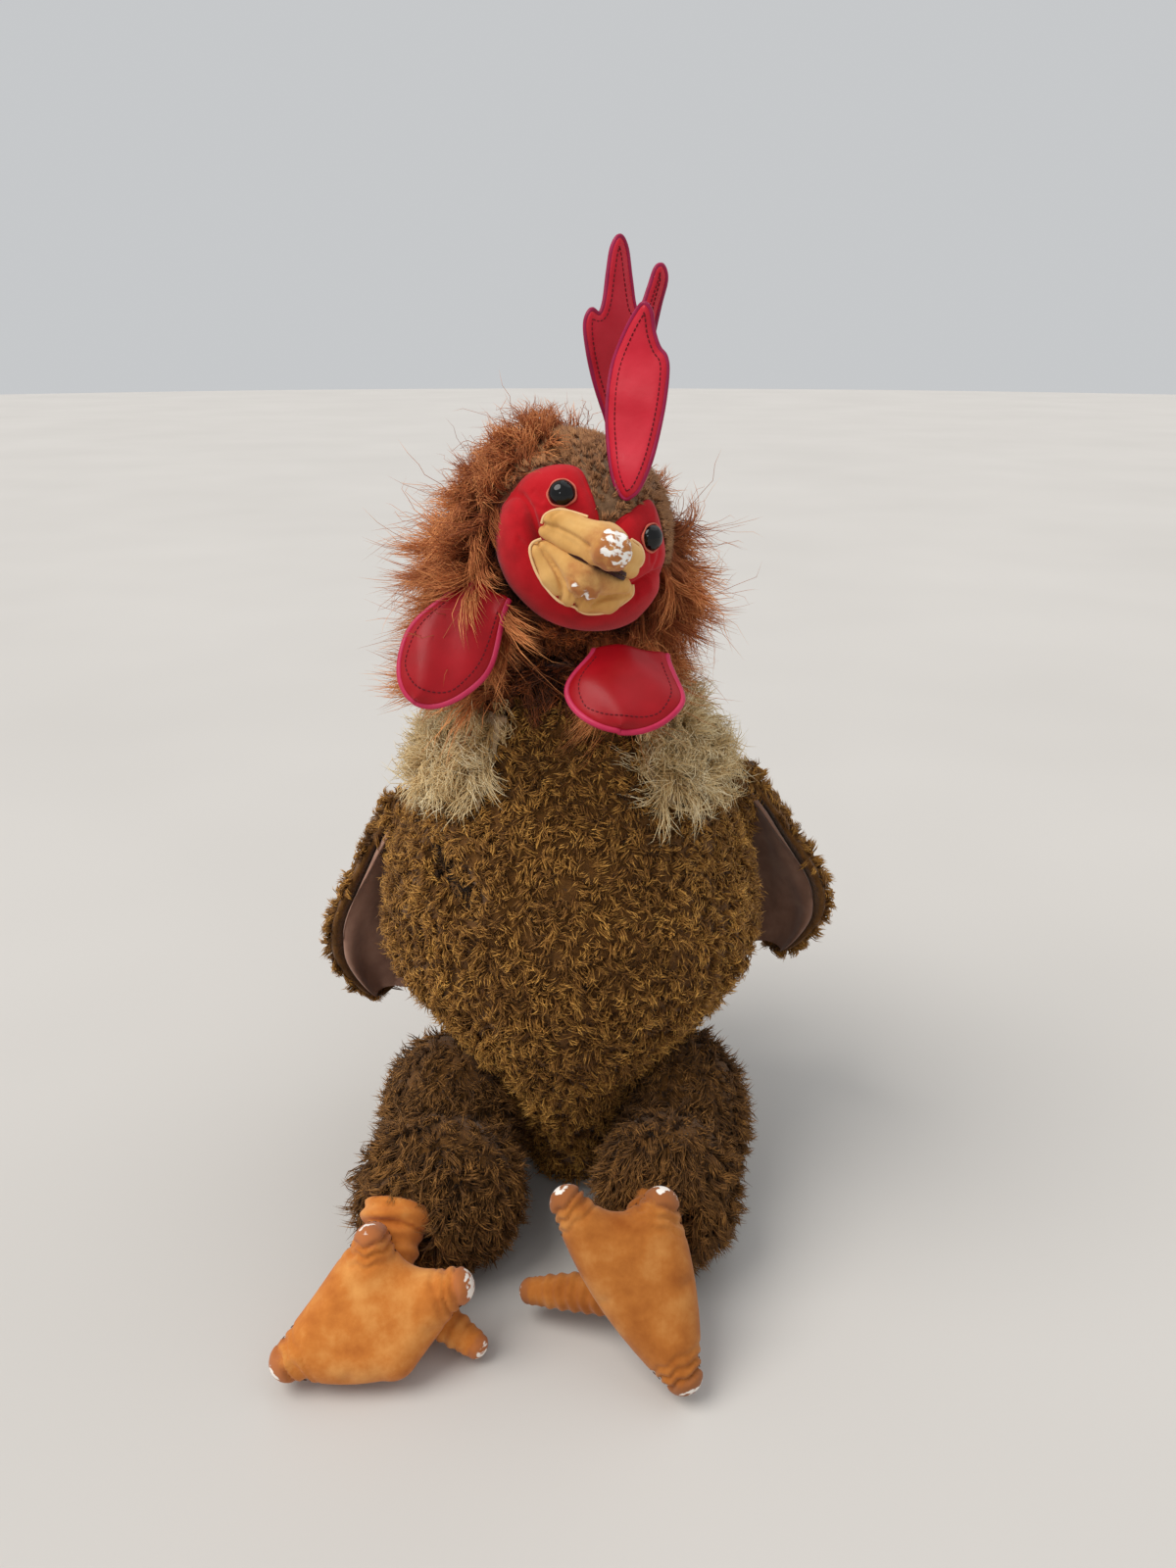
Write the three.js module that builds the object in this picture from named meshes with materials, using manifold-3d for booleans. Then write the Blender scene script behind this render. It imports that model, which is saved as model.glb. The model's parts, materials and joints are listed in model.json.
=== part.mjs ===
// A seated plush rooster hand puppet, in millimetres, +Z up, facing -Y.
// The origin is the middle of its flat seat. "left" names the side at -X.
import * as THREE from "three";
import { mergeVertices } from "three/addons/utils/BufferGeometryUtils.js";
import Module from "manifold-3d";

const wasm = await Module();
wasm.setup();

// ---- driving dimensions ----
const GAP = 0.4; // between layers that touch
const SKIN = 4; // plush with its pile
const TORSO_WADDING = 17;
const LINING = 2;
const SIDE_SEAM_Y = 8; // where the belly and back skins meet
const NECK_TOP_Z = 258;
// height, half-width in front, half-width behind, centre y, depth forward, depth back
const TORSO_LEVELS = [
  [0, 25, 40, 0, 40, 40],
  [40, 32, 58, 0, 58, 60],
  [76, 44, 74, -2, 75, 76],
  [101, 69, 84, -2, 84, 83],
  [130, 91, 91, -2, 89, 86],
  [160, 88, 88, -2, 88, 81],
  [190, 76, 76, -3, 77, 71],
  [225, 57, 57, -6, 58, 56],
  [NECK_TOP_Z, 38, 38, -12, 39, 38],
];
const TORSO_SIDES = 18;
const HAND_HOLE = { z: 52, halfWidth: 40, halfHeight: 27, binding: 2.6 };

const HEAD = { x: 1, y: -30, z: 327, rx: 40, ry: 44, rz: 40, turn: 14, roll: 27, nod: -2.5 };
const HEAD_WADDING = 12;
const NECK_BALL = { x: -9, y: -20, z: 286, r: 20, bore: 12 };
const NECK_RING = { r: 33, bore: 14, top: 273 };
const JAW_HINGE = { y: -12, z: -8 }; // in the head's own axes
const JAW_WEDGE = 60; // degrees of chin below the mouth line
const MOUTH_PLATE = 1.4;
const EYE = { side: 29.5, up: 14, r: 5, dome: 4.4, stem: 1.6, stemEnd: -6.5 };
const WASHER = { r: 6, inner: -7.4, outer: -5.8 };
const MASK = 2.6; // thickness of the red face panels
const MANE = 14;

const COMB_THICK = 7;
const WATTLE_THICK = 5;
const FOOT_THICK = 20;
const FOOT_LEAN = 35; // degrees that the soles lean back from upright
const SHANK_R = 13;
const ANKLE_ROOM = 3.5; // clearance that lets the ankle turn in the leg

// ---- materials ----
const cloth = (hex, roughness = 0.95) =>
  new THREE.MeshStandardMaterial({ color: hex, roughness, metalness: 0 });
const brownPlush = cloth(0x785228);
const crownPlush = cloth(0x826450);
const russetFur = cloth(0x96502a);
const creamFur = cloth(0xcdb896);
const wadding = cloth(0xe8e4da);
const lining = cloth(0x4a3626);
const redVelour = cloth(0xb81a22, 0.8);
const redSatin = cloth(0xc82c3c, 0.35);
const tanVelour = cloth(0xcda05f, 0.8);
const orangeVelour = cloth(0xd28237, 0.8);
const suede = cloth(0x6e5046, 0.9);
const blackPlastic = cloth(0x101010, 0.1);
const whitePlastic = cloth(0xdcdcd4, 0.5);
const mouthBoard = cloth(0x3a1c18, 0.7);

// ---- helpers ----
const radians = (degrees) => (degrees * Math.PI) / 180;
const mix = (a, b, t) => a + (b - a) * t;
const clamp01 = (t) => Math.min(1, Math.max(0, t));
const smooth = (t) => clamp01(t) ** 2 * (3 - 2 * clamp01(t));

function signedVolume(geometry) {
  const p = geometry.attributes.position;
  const a = new THREE.Vector3();
  const b = new THREE.Vector3();
  const c = new THREE.Vector3();
  let sum = 0;
  for (let i = 0; i < geometry.index.count; i += 3) {
    a.fromBufferAttribute(p, geometry.index.getX(i));
    b.fromBufferAttribute(p, geometry.index.getX(i + 1));
    c.fromBufferAttribute(p, geometry.index.getX(i + 2));
    sum += a.dot(b.cross(c));
  }
  return sum / 6;
}

// Merges shared vertices, and turns the faces outwards if they point in.
function closed(geometry) {
  const bare = geometry.clone();
  bare.deleteAttribute("normal");
  bare.deleteAttribute("uv");
  const merged = mergeVertices(bare, 1e-3);
  if (signedVolume(merged) < 0) {
    const index = merged.index.array;
    for (let i = 0; i < index.length; i += 3) {
      [index[i + 1], index[i + 2]] = [index[i + 2], index[i + 1]];
    }
  }
  return merged;
}

function solid(geometry) {
  const g = closed(geometry);
  const mesh = new wasm.Mesh({
    numProp: 3,
    vertProperties: new Float32Array(g.attributes.position.array),
    triVerts: new Uint32Array(g.index.array),
  });
  return new wasm.Manifold(mesh);
}

function geometryOf(manifold) {
  const mesh = manifold.getMesh();
  const g = new THREE.BufferGeometry();
  g.setAttribute("position", new THREE.BufferAttribute(mesh.vertProperties, 3));
  g.setIndex(new THREE.BufferAttribute(mesh.triVerts, 1));
  return closed(g);
}

const part = new THREE.Group();
const headGroup = new THREE.Group();
headGroup.rotation.set(radians(HEAD.nod), radians(HEAD.roll), radians(HEAD.turn), "ZYX");
headGroup.position.set(HEAD.x, HEAD.y, HEAD.z);
headGroup.updateMatrix();
part.add(headGroup);

function add(name, shape, material, group = part) {
  const geometry = shape.isBufferGeometry ? closed(shape) : geometryOf(shape);
  geometry.computeVertexNormals();
  const mesh = new THREE.Mesh(geometry, material);
  mesh.name = name;
  group.add(mesh);
}

function deform(geometry, map) {
  const p = geometry.attributes.position;
  for (let i = 0; i < p.count; i++) {
    const [x, y, z] = map(p.getX(i), p.getY(i), p.getZ(i));
    p.setXYZ(i, x, y, z);
  }
  return geometry;
}

// A slab whose u and v run 0 to 1 across its sides and w runs 0 to 1 through it, bent by a function.
function bentSlab(columns, rows, map) {
  const box = new THREE.BoxGeometry(1, 1, 1, columns, rows, 1);
  return deform(box, (x, y, z) => map(x + 0.5, y + 0.5, z + 0.5));
}

function ellipsoid(centre, radii, around = 14, up = 8) {
  const g = new THREE.SphereGeometry(1, around, up).rotateX(Math.PI / 2);
  return g.scale(...radii).translate(...centre);
}

// A round rod of changing radius along a smooth path, with domed ends.
function rod(points, radii, sides = 12, steps = 8) {
  const path = new THREE.CatmullRomCurve3(points.map((p) => new THREE.Vector3(...p)));
  const frames = path.computeFrenetFrames(steps, false);
  const profile = [new THREE.Vector2(0, 0)];
  for (let i = 0; i <= steps; i++) profile.push(new THREE.Vector2(1, i / steps));
  profile.push(new THREE.Vector2(0, 1));
  const radiusAt = (t) => {
    const along = t * (radii.length - 1);
    const i = Math.min(radii.length - 2, Math.floor(along));
    return mix(radii[i], radii[i + 1], along - i);
  };
  return deform(new THREE.LatheGeometry(profile, sides), (x, y, z) => {
    const i = Math.round(y * steps);
    const r = radiusAt(y);
    const at = path.getPointAt(y);
    at.addScaledVector(frames.normals[i], x * r).addScaledVector(frames.binormals[i], z * r);
    return at.toArray();
  });
}

// ---- torso: plush skin, wadding and hand lining, all offsets of one pear shape ----
function torsoLevel(z) {
  let i = 0;
  while (i < TORSO_LEVELS.length - 2 && z > TORSO_LEVELS[i + 1][0]) i++;
  const [low, high] = [TORSO_LEVELS[i], TORSO_LEVELS[i + 1]];
  const t = (z - low[0]) / (high[0] - low[0]);
  return low.map((value, k) => mix(value, high[k], t));
}

function torsoPoint(angle, z, share) {
  const [, front, behind, centreY, forward, back] = torsoLevel(z);
  const halfWidth = mix(front, behind, smooth((Math.sin(angle) + 0.6) / 1.2));
  const depth = Math.sin(angle) < 0 ? forward : back;
  return [
    halfWidth * share * Math.cos(angle),
    centreY + depth * share * Math.sin(angle),
    z,
  ];
}

// The share of the pear's radius that is left at an inset from its surface.
function insetShare(inset, z) {
  const [, front, behind, , forward, back] = torsoLevel(z);
  return 1 - inset / ((front + behind + forward + back) / 4);
}

// The pear, inset from its surface, standing on a given floor. Raised, it runs on above the neck.
function torsoSolid(inset, floor, raised = 0) {
  const profile = [new THREE.Vector2(0, floor), new THREE.Vector2(insetShare(inset, floor), floor)];
  for (const [z] of TORSO_LEVELS) {
    if (z > floor + 3) profile.push(new THREE.Vector2(insetShare(inset, z), z));
  }
  if (raised) profile.push(new THREE.Vector2(insetShare(inset, NECK_TOP_Z), NECK_TOP_Z + raised));
  profile.push(new THREE.Vector2(0, NECK_TOP_Z + raised));
  const lathe = new THREE.LatheGeometry(profile, TORSO_SIDES).rotateX(Math.PI / 2);
  const pear = (x, y, z) => torsoPoint(Math.atan2(y, x), z, Math.hypot(x, y));
  return solid(deform(lathe, pear));
}
const torsoLayer = (outer, inner) => torsoSolid(outer, outer).subtract(torsoSolid(inner, inner, 4));

const halfSpace = (behind) => {
  const y = behind ? SIDE_SEAM_Y + GAP / 2 + 200 : SIDE_SEAM_Y - GAP / 2 - 200;
  return solid(new THREE.BoxGeometry(400, 400, 700).translate(0, y, 200));
};
const handHole = (grow = 0) => {
  const g = new THREE.CylinderGeometry(1, 1, 120, 24);
  g.scale(HAND_HOLE.halfWidth + grow, 1, HAND_HOLE.halfHeight + grow);
  return solid(g.translate(0, 60, HAND_HOLE.z));
};
const handDepth = SKIN + TORSO_WADDING + GAP;
const skin = torsoLayer(0, SKIN);
const stuffing = torsoLayer(SKIN + GAP, SKIN + TORSO_WADDING);
const glove = torsoLayer(handDepth, handDepth + LINING);
add("belly_plush", skin.intersect(halfSpace(false)), brownPlush);
add("back_plush", skin.intersect(halfSpace(true)).subtract(handHole()), brownPlush);
add("belly_wadding", stuffing.intersect(halfSpace(false)), wadding);
add("back_wadding", stuffing.intersect(halfSpace(true)).subtract(handHole(3)), wadding);
add("glove_lining", glove.subtract(handHole()), lining);

// The binding sewn round the hand opening follows the back's curve.
const bindingRing = new THREE.TorusGeometry(1, 0.1, 5, 20).rotateX(Math.PI / 2);
add(
  "hem_binding",
  deform(bindingRing, (x, y, z) => {
    const around = Math.atan2(z, x);
    const out = Math.hypot(x, z) - 1;
    const reach = HAND_HOLE.binding * 10;
    const px = (HAND_HOLE.halfWidth - HAND_HOLE.binding - GAP + out * reach) * Math.cos(around);
    const pz = (HAND_HOLE.halfHeight - HAND_HOLE.binding - GAP + out * reach) * Math.sin(around);
    const [, , behind, , , back] = torsoLevel(HAND_HOLE.z + pz);
    const surface = back * Math.sqrt(1 - (px / behind) ** 2);
    return [px, surface - 2 + y * reach, HAND_HOLE.z + pz];
  }),
  lining,
);

// The pale mantle wraps the shoulders and leaves the breast bare.
const MANTLE = { low: 212, high: 254, thick: 8, bare: 34 };
add(
  "shoulder_mantle",
  bentSlab(18, 2, (u, v, w) => {
    const angle = radians(mix(-90 + MANTLE.bare, 270 - MANTLE.bare, u));
    const z = mix(MANTLE.low, MANTLE.high, v);
    const taper = mix(0.35, 1, smooth(4 * Math.min(u, 1 - u, 0.25)));
    return torsoPoint(angle, z, insetShare(-2 - w * MANTLE.thick * taper, z));
  }),
  creamFur,
);

// The tail is a small stuffed fan at the back.
const TAIL = { y: 86.5, z: 118, width: 62, height: 62, lean: 0.5 };
function tailSlab(low, high) {
  return bentSlab(6, 3, (u, v, w) => {
    const across = 2 * u - 1;
    const spread = mix(0.5, 1, smooth(v * 1.6));
    const z = TAIL.z + TAIL.height * v * (1 - 0.22 * across ** 2);
    const y = TAIL.y + mix(low, high, w) + TAIL.lean * TAIL.height * v - 10 * across ** 2 * v;
    return [(across * TAIL.width * spread) / 2, y, z];
  });
}
add("tail_front_plush", tailSlab(0, 4), brownPlush);
add("tail_wadding", tailSlab(4 + GAP, 10), wadding);
add("tail_back_plush", tailSlab(10 + GAP, 14), brownPlush);

// ---- neck: a fixed ring and a ball, both bored for the fingers ----
const ballCentre = [NECK_BALL.x, NECK_BALL.y, NECK_BALL.z];
const ring = new THREE.CylinderGeometry(1, 1, 1, 18).rotateX(Math.PI / 2);
const ringHeight = NECK_RING.top - NECK_TOP_Z - GAP;
ring.scale(NECK_RING.r, NECK_RING.r, ringHeight);
ring.translate(NECK_BALL.x / 2, -15, NECK_TOP_Z + GAP + ringHeight / 2);
const boreAt = (r) => {
  const g = new THREE.CylinderGeometry(r, r, 100, 14).rotateX(Math.PI / 2);
  return solid(g.translate(...ballCentre));
};
const ball = (r) => solid(ellipsoid(ballCentre, [r, r, r]));
add(
  "neck_wadding_lower",
  solid(ring).subtract(boreAt(NECK_RING.bore)).subtract(ball(NECK_BALL.r + 1)),
  wadding,
);
add("neck_wadding_upper", ball(NECK_BALL.r).subtract(boreAt(NECK_BALL.bore)), wadding);

// ---- head, in its own axes: the beak points to -Y ----
const headShape = (inset, around = 18, up = 10) =>
  ellipsoid([0, 0, 0], [HEAD.rx - inset, HEAD.ry - inset, HEAD.rz - inset], around, up);
const toHead = headGroup.matrix.clone().invert();
const socket = (r) => {
  const centre = new THREE.Vector3(...ballCentre).applyMatrix4(toHead).toArray();
  return solid(ellipsoid(centre, [r, r, r]));
};

// A prism across the head whose side view is a wedge at the jaw hinge, between two angles below forward.
function wedge(from, to, raise = 0) {
  const shape = new THREE.Shape();
  shape.moveTo(JAW_HINGE.y, JAW_HINGE.z + raise);
  const reach = 4 * HEAD.rx;
  const depth = 3 * HEAD.rx;
  for (const angle of [from, mix(from, to, 0.5), to]) {
    const a = radians(angle);
    shape.lineTo(JAW_HINGE.y - reach * Math.cos(a), JAW_HINGE.z + raise - reach * Math.sin(a));
  }
  const g = new THREE.ExtrudeGeometry(shape, { depth, bevelEnabled: false });
  // the shape's x is the head's y, its y is the head's z, and it is drawn out along the head's x
  return solid(deform(g, (x, y, z) => [z - depth / 2, x, y]));
}

function eyeFrame(side) {
  const az = radians(EYE.side) * side;
  const el = radians(EYE.up);
  const out = new THREE.Vector3(
    Math.sin(az) * Math.cos(el),
    -Math.cos(az) * Math.cos(el),
    Math.sin(el),
  );
  const reach = 1 / Math.hypot(out.x / HEAD.rx, out.y / HEAD.ry, out.z / HEAD.rz);
  return { out, at: out.clone().multiplyScalar(reach) };
}

// A turned piece on an eye's axis: its profile is (radius, distance out from the head's skin).
function onEye(side, profile, sides = 10) {
  const { out, at } = eyeFrame(side);
  const g = new THREE.LatheGeometry(profile.map((p) => new THREE.Vector2(...p)), sides);
  g.applyQuaternion(new THREE.Quaternion().setFromUnitVectors(new THREE.Vector3(0, 1, 0), out));
  return g.translate(...at.toArray());
}
const disc = (r, low, high) => [[0, low], [r, low], [r, high], [0, high]];

const SIDES = [["left", -1], ["right", 1]];
const upperHead = wedge(-3, 92, 4);
let headSkin = solid(headShape(0)).subtract(solid(headShape(SKIN - 0.5)));
let headStuffing = solid(headShape(SKIN - 0.5 + GAP));
headStuffing = headStuffing.subtract(solid(headShape(SKIN + HEAD_WADDING)));
for (const [, side] of SIDES) {
  headSkin = headSkin.subtract(solid(onEye(side, disc(EYE.stem + GAP, -20, 20))));
  headStuffing = headStuffing.subtract(solid(onEye(side, disc(WASHER.r + 0.7, WASHER.inner - 0.6, 0))));
}
const neckSocket = socket(NECK_BALL.r + 1);
add("head_plush", headSkin.subtract(upperHead).subtract(neckSocket), crownPlush, headGroup);
add("head_wadding", headStuffing.subtract(upperHead).subtract(neckSocket), wadding, headGroup);

const onHead = (azimuth, elevation, out) => {
  const [a, e] = [radians(azimuth), radians(elevation)];
  return [
    (HEAD.rx + out) * Math.sin(a) * Math.cos(e),
    -(HEAD.ry + out) * Math.cos(a) * Math.cos(e),
    (HEAD.rz + out) * Math.sin(e),
  ];
};

for (const [name, side] of SIDES) {
  // eye: a domed button with a stem through the skin, held by a washer inside
  const rim = MASK + 0.6;
  const dome = [[0, EYE.stemEnd], [EYE.stem, EYE.stemEnd], [EYE.stem, rim]];
  for (const a of [0, 25, 50, 72]) {
    dome.push([EYE.r * Math.cos(radians(a)), rim + EYE.dome * Math.sin(radians(a))]);
  }
  dome.push([0, rim + EYE.dome]);
  add(`eye_${name}`, onEye(side, dome), blackPlastic, headGroup);
  const hole = EYE.stem + 0.3;
  const { r, inner, outer } = WASHER;
  const washer = [[hole, inner], [r, inner], [r, outer], [hole, outer], [hole, inner]];
  add(`eye_washer_${name}`, onEye(side, washer), whitePlastic, headGroup);

  // cheek panel: from the brow's notch round the eye and down to the mouth line
  const cheek = bentSlab(7, 4, (u, v, w) => {
    const azimuth = mix(3, 62, u);
    const top = mix(16, 40, smooth(u * 2.6)) * (1 - 0.45 * smooth((u - 0.55) / 0.45));
    const elevation = mix(-4, top, v);
    return onHead(side * azimuth, elevation, mix(0.7, MASK, w));
  });
  const eyeHole = solid(onEye(side, disc(EYE.stem + 0.4, -4, 8)));
  add(`cheek_panel_${name}`, solid(cheek).subtract(eyeHole), redVelour, headGroup);
}

// mane: long fur round the back and sides of the head, open in front
add(
  "mane",
  bentSlab(14, 5, (u, v, w) => {
    const azimuth = mix(74, 286, u);
    const elevation = mix(-34, 58, v);
    const edge = smooth(6 * Math.min(u, 1 - u)) * smooth(5 * Math.min(v + 0.08, 1.08 - v));
    return onHead(azimuth, elevation, 1 + w * mix(3, MANE, edge));
  }),
  russetFur,
  headGroup,
);

// beak: two stuffed halves on the face, with a board behind each
const MOUTH = { upper: -4.8, lower: -9.2, halfWidth: 16, front: -60, back: -14 };
const above = (z) => solid(new THREE.BoxGeometry(120, 120, 80).translate(0, 0, z + 40));
const below = (z) => solid(new THREE.BoxGeometry(120, 120, 80).translate(0, 0, z - 40));
const faceClear = solid(headShape(-MASK - 1.3));
add(
  "upper_beak",
  solid(ellipsoid([0, -42, -3], [19, 28, 14], 14, 10)).intersect(above(MOUTH.upper)).subtract(faceClear),
  tanVelour,
  headGroup,
);
function mouthPlate(top, back) {
  const shape = new THREE.Shape();
  shape.moveTo(-MOUTH.halfWidth, back);
  shape.lineTo(MOUTH.halfWidth, back);
  shape.lineTo(MOUTH.halfWidth, -38);
  shape.absellipse(0, -38, MOUTH.halfWidth, -38 - MOUTH.front, 0, Math.PI, true);
  const options = { depth: MOUTH_PLATE, bevelEnabled: false, curveSegments: 12 };
  return new THREE.ExtrudeGeometry(shape, options).translate(0, 0, top - MOUTH_PLATE);
}
add("upper_mouth_plate", mouthPlate(MOUTH.upper - GAP, MOUTH.back), mouthBoard, headGroup);
const lowerPlate = mouthPlate(MOUTH.upper - 2 * GAP - MOUTH_PLATE, MOUTH.back - 1);
add("lower_mouth_plate", lowerPlate, mouthBoard, headGroup);

// jaw: chin skin and stuffing in a wedge below the mouth line, and the lower beak
const jawWedge = wedge(2, JAW_WEDGE);
const jawTop = below(MOUTH.lower);
const chinSkin = solid(headShape(0)).subtract(solid(headShape(SKIN - 0.5)));
add("chin_panel", chinSkin.intersect(jawWedge).intersect(jawTop), redVelour, headGroup);
add(
  "jaw_wadding",
  solid(headShape(SKIN - 0.5 + GAP)).intersect(jawWedge).intersect(jawTop),
  wadding,
  headGroup,
);
add(
  "lower_beak",
  solid(ellipsoid([0, -40, -12], [20, 23, 12], 14, 10)).intersect(jawTop).subtract(solid(headShape(-GAP))),
  tanVelour,
  headGroup,
);

// ---- comb: one padded sheet, folded in plan, whose top edge rises in five fingers ----
const COMB_BASE = [[22, -66, 352], [14, -50, 366], [20, -26, 369]]; // front, fold, back
const COMB_TOP = [[38, -52, 382], [10, -38, 400], [36, -8, 400]];
const COMB_FINGERS = [ // place along the sheet, rise above its top line, half-width along the sheet
  [0.06, 12, 0.07],
  [0.24, 32, 0.09],
  [0.5, 12, 0.07],
  [0.7, 42, 0.085],
  [0.93, 28, 0.07],
];
const through = (points, t) => {
  const curve = new THREE.QuadraticBezierCurve3(...points.map((p) => new THREE.Vector3(...p)));
  return { at: curve.getPoint(t), along: curve.getTangent(t) };
};
const finger = ([at, rise, half], u) => rise * (1 - Math.min(1, Math.abs(u - at) / half) ** 1.6);
const combRise = (u) => Math.max(0, ...COMB_FINGERS.map((f) => finger(f, u)));
add(
  "comb_panel",
  bentSlab(26, 4, (u, v, w) => {
    const base = through(COMB_BASE, u);
    const top = through(COMB_TOP, u);
    const point = base.at.clone().lerp(top.at, v);
    const along = base.along.clone().lerp(top.along, v);
    const out = new THREE.Vector3(-along.y, along.x, 0).normalize();
    point.z += combRise(u) * v;
    const thin = mix(1, 0.5, v) * mix(0.5, 1, smooth(8 * Math.min(u, 1 - u)));
    return point.addScaledVector(out, (w - 0.5) * COMB_THICK * thin).toArray();
  }),
  redSatin,
);

// ---- wattles: rounded flaps hanging from the cheeks ----
const WATTLES = {
  left: { top: [-32, -74, 309], tip: [-55, -90, 274], half: 21 },
  right: { top: [26, -70, 287], tip: [21, -100, 261], half: 22 },
};
for (const [name] of SIDES) {
  const { top, tip, half } = WATTLES[name];
  const from = new THREE.Vector3(...top);
  const along = new THREE.Vector3(...tip).sub(from);
  const across = new THREE.Vector3(1, 0, 0).cross(along).cross(along).normalize();
  const out = across.clone().cross(along).normalize();
  const flap = bentSlab(6, 5, (u, v, w) => {
    const width = half * mix(0.6, 1, smooth(v * 1.8)) * Math.sqrt(1 - (Math.max(0, v - 0.45) / 0.56) ** 2);
    const edge = 2 * u - 1;
    const thick = WATTLE_THICK * mix(1, 0.6, edge ** 2);
    return from
      .clone()
      .addScaledVector(along, v)
      .addScaledVector(across, edge * width)
      .addScaledVector(out, (w - 0.5) * thick)
      .toArray();
  });
  add(`wattle_${name}`, flap, redSatin);
}

// ---- wings: cupped teardrops of plush, wadding and a suede lining ----
const WINGS = {
  left: { side: -1, root: 95, top: 180, length: 112, spread: 15, half: 26 },
  right: { side: 1, root: 92, top: 198, length: 102, spread: 22, half: 27 },
};
const WING_Y = 32;
function wingSlab({ side, root, top, length, spread, half }, low, high) {
  return bentSlab(5, 7, (u, v, w) => {
    const across = 2 * u - 1; // -1 is the outer edge
    const width = half * mix(0.42, 1, smooth(v * 1.7)) * Math.sqrt(1 - (Math.max(0, v - 0.5) / 0.53) ** 2);
    const middle = root + spread * smooth(v * 1.3) - 5 * smooth((v - 0.7) / 0.3);
    const cup = 7 * across ** 2 + mix(low, high, w);
    const x = middle - across * width * 0.7 - cup * 0.7;
    const y = WING_Y + across * width * 0.7 - cup * 0.7;
    return [side * x, y, top - length * v + 6 * across ** 2 * (1 - v)];
  });
}
for (const [name] of SIDES) {
  add(`wing_${name}_plush`, wingSlab(WINGS[name], -9, -4.2), brownPlush);
  add(`wing_${name}_wadding`, wingSlab(WINGS[name], -2, 1.2), wadding);
  add(`wing_${name}_lining`, wingSlab(WINGS[name], 3.4, 5.4), suede);
}

// ---- legs and feet ----
const LEGS = {
  left: {
    thigh: [[-58, -49, 45], [32, 37, 45]],
    shin: [[-59, -88, 37], [36, 30, 37]],
    ankle: [-74, -111, 50],
  },
  right: {
    thigh: [[53, -48, 45], [31, 36, 45]],
    shin: [[45, -86, 37], [31, 29, 37]],
    ankle: [40, -108, 48],
  },
};
// A foot's outline: round toes joined by webs, in the sole's plane, clockwise from the first toe.
const FEET = {
  left: {
    centre: [-80, -151, 30],
    toes: [[-2, 25, 8], [33, 7, 8], [8, -18, 11], [-34, -21, 8]],
    webs: [[10, 10], [27, -10], [-10, -31], [-26, 2]],
    hindToe: [[-62, -138, 16], [-40, -150, 8], [9, 6.5]],
  },
  right: {
    centre: [26, -148, 40],
    toes: [[-26, 30, 8], [12, 29, 8], [20, -35, 8]],
    webs: [[-7, 20], [28, 0], [-18, -12]],
    hindToe: [[10, -134, 20], [-16, -128, 15], [9, 6.5]],
  },
};
const lean = radians(FOOT_LEAN);
const footPoint = (centre, x, y, out) => [
  centre[0] + x,
  centre[1] + y * Math.sin(lean) - out * Math.cos(lean),
  centre[2] + y * Math.cos(lean) + out * Math.sin(lean),
];
const TOE_END = [80, 40, 0, -40, -80]; // degrees about the way the toe points
function footOutline({ toes, webs }) {
  const shape = new THREE.Shape();
  const onToe = ([x, y, r], angle) => {
    const a = Math.atan2(y, x) + radians(angle);
    return [x + r * Math.cos(a), y + r * Math.sin(a)];
  };
  shape.moveTo(...onToe(toes[0], TOE_END[0]));
  toes.forEach((toe, i) => {
    for (const angle of TOE_END.slice(1)) shape.lineTo(...onToe(toe, angle));
    const next = toes[(i + 1) % toes.length];
    shape.quadraticCurveTo(...webs[i], ...onToe(next, TOE_END[0]));
  });
  return shape;
}
function footLayer(foot, low, high, bevel) {
  const g = new THREE.ExtrudeGeometry(footOutline(foot), {
    depth: high - low - 2 * bevel,
    bevelEnabled: bevel > 0,
    bevelThickness: bevel,
    bevelSize: bevel,
    bevelOffset: -bevel,
    bevelSegments: 1,
    curveSegments: 4,
  });
  return deform(g, (x, y, z) => footPoint(foot.centre, x, y, z + low + bevel));
}
// The shank: a tube from a ball in the leg's end to the back of the foot.
function shankSolid(name, grow) {
  const { ankle } = LEGS[name];
  const joinAt = footPoint(FEET[name].centre, 0, 0, 3 - FOOT_THICK / 2);
  const middle = ankle.map((a, i) => mix(a, joinAt[i], 0.5));
  const tube = rod([ankle, middle, joinAt], [SHANK_R + grow, SHANK_R - 1 + grow], 10, 3);
  return solid(tube).add(solid(ellipsoid(ankle, Array(3).fill(SHANK_R + grow), 10, 8)));
}

const torsoClear = torsoSolid(-1, -1);
const torsoClearInside = torsoSolid(-1 - SKIN, -1);
const torsoClearWadding = torsoSolid(-1 - SKIN - GAP, -1);
for (const [name] of SIDES) {
  const { thigh, shin, ankle } = LEGS[name];
  const lobes = (inset) => {
    const lobe = ([centre, radii]) => solid(ellipsoid(centre, radii.map((r) => r - inset), 12, 8));
    return lobe(thigh).add(lobe(shin));
  };
  const ankleSocket = shankSolid(name, ANKLE_ROOM);
  const outer = lobes(0).subtract(torsoClear).subtract(ankleSocket);
  add(`leg_${name}_plush`, outer.subtract(lobes(SKIN).subtract(torsoClearInside)), brownPlush);
  add(
    `leg_${name}_wadding`,
    lobes(SKIN + GAP).subtract(torsoClearWadding).subtract(ankleSocket),
    wadding,
  );
}

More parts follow.
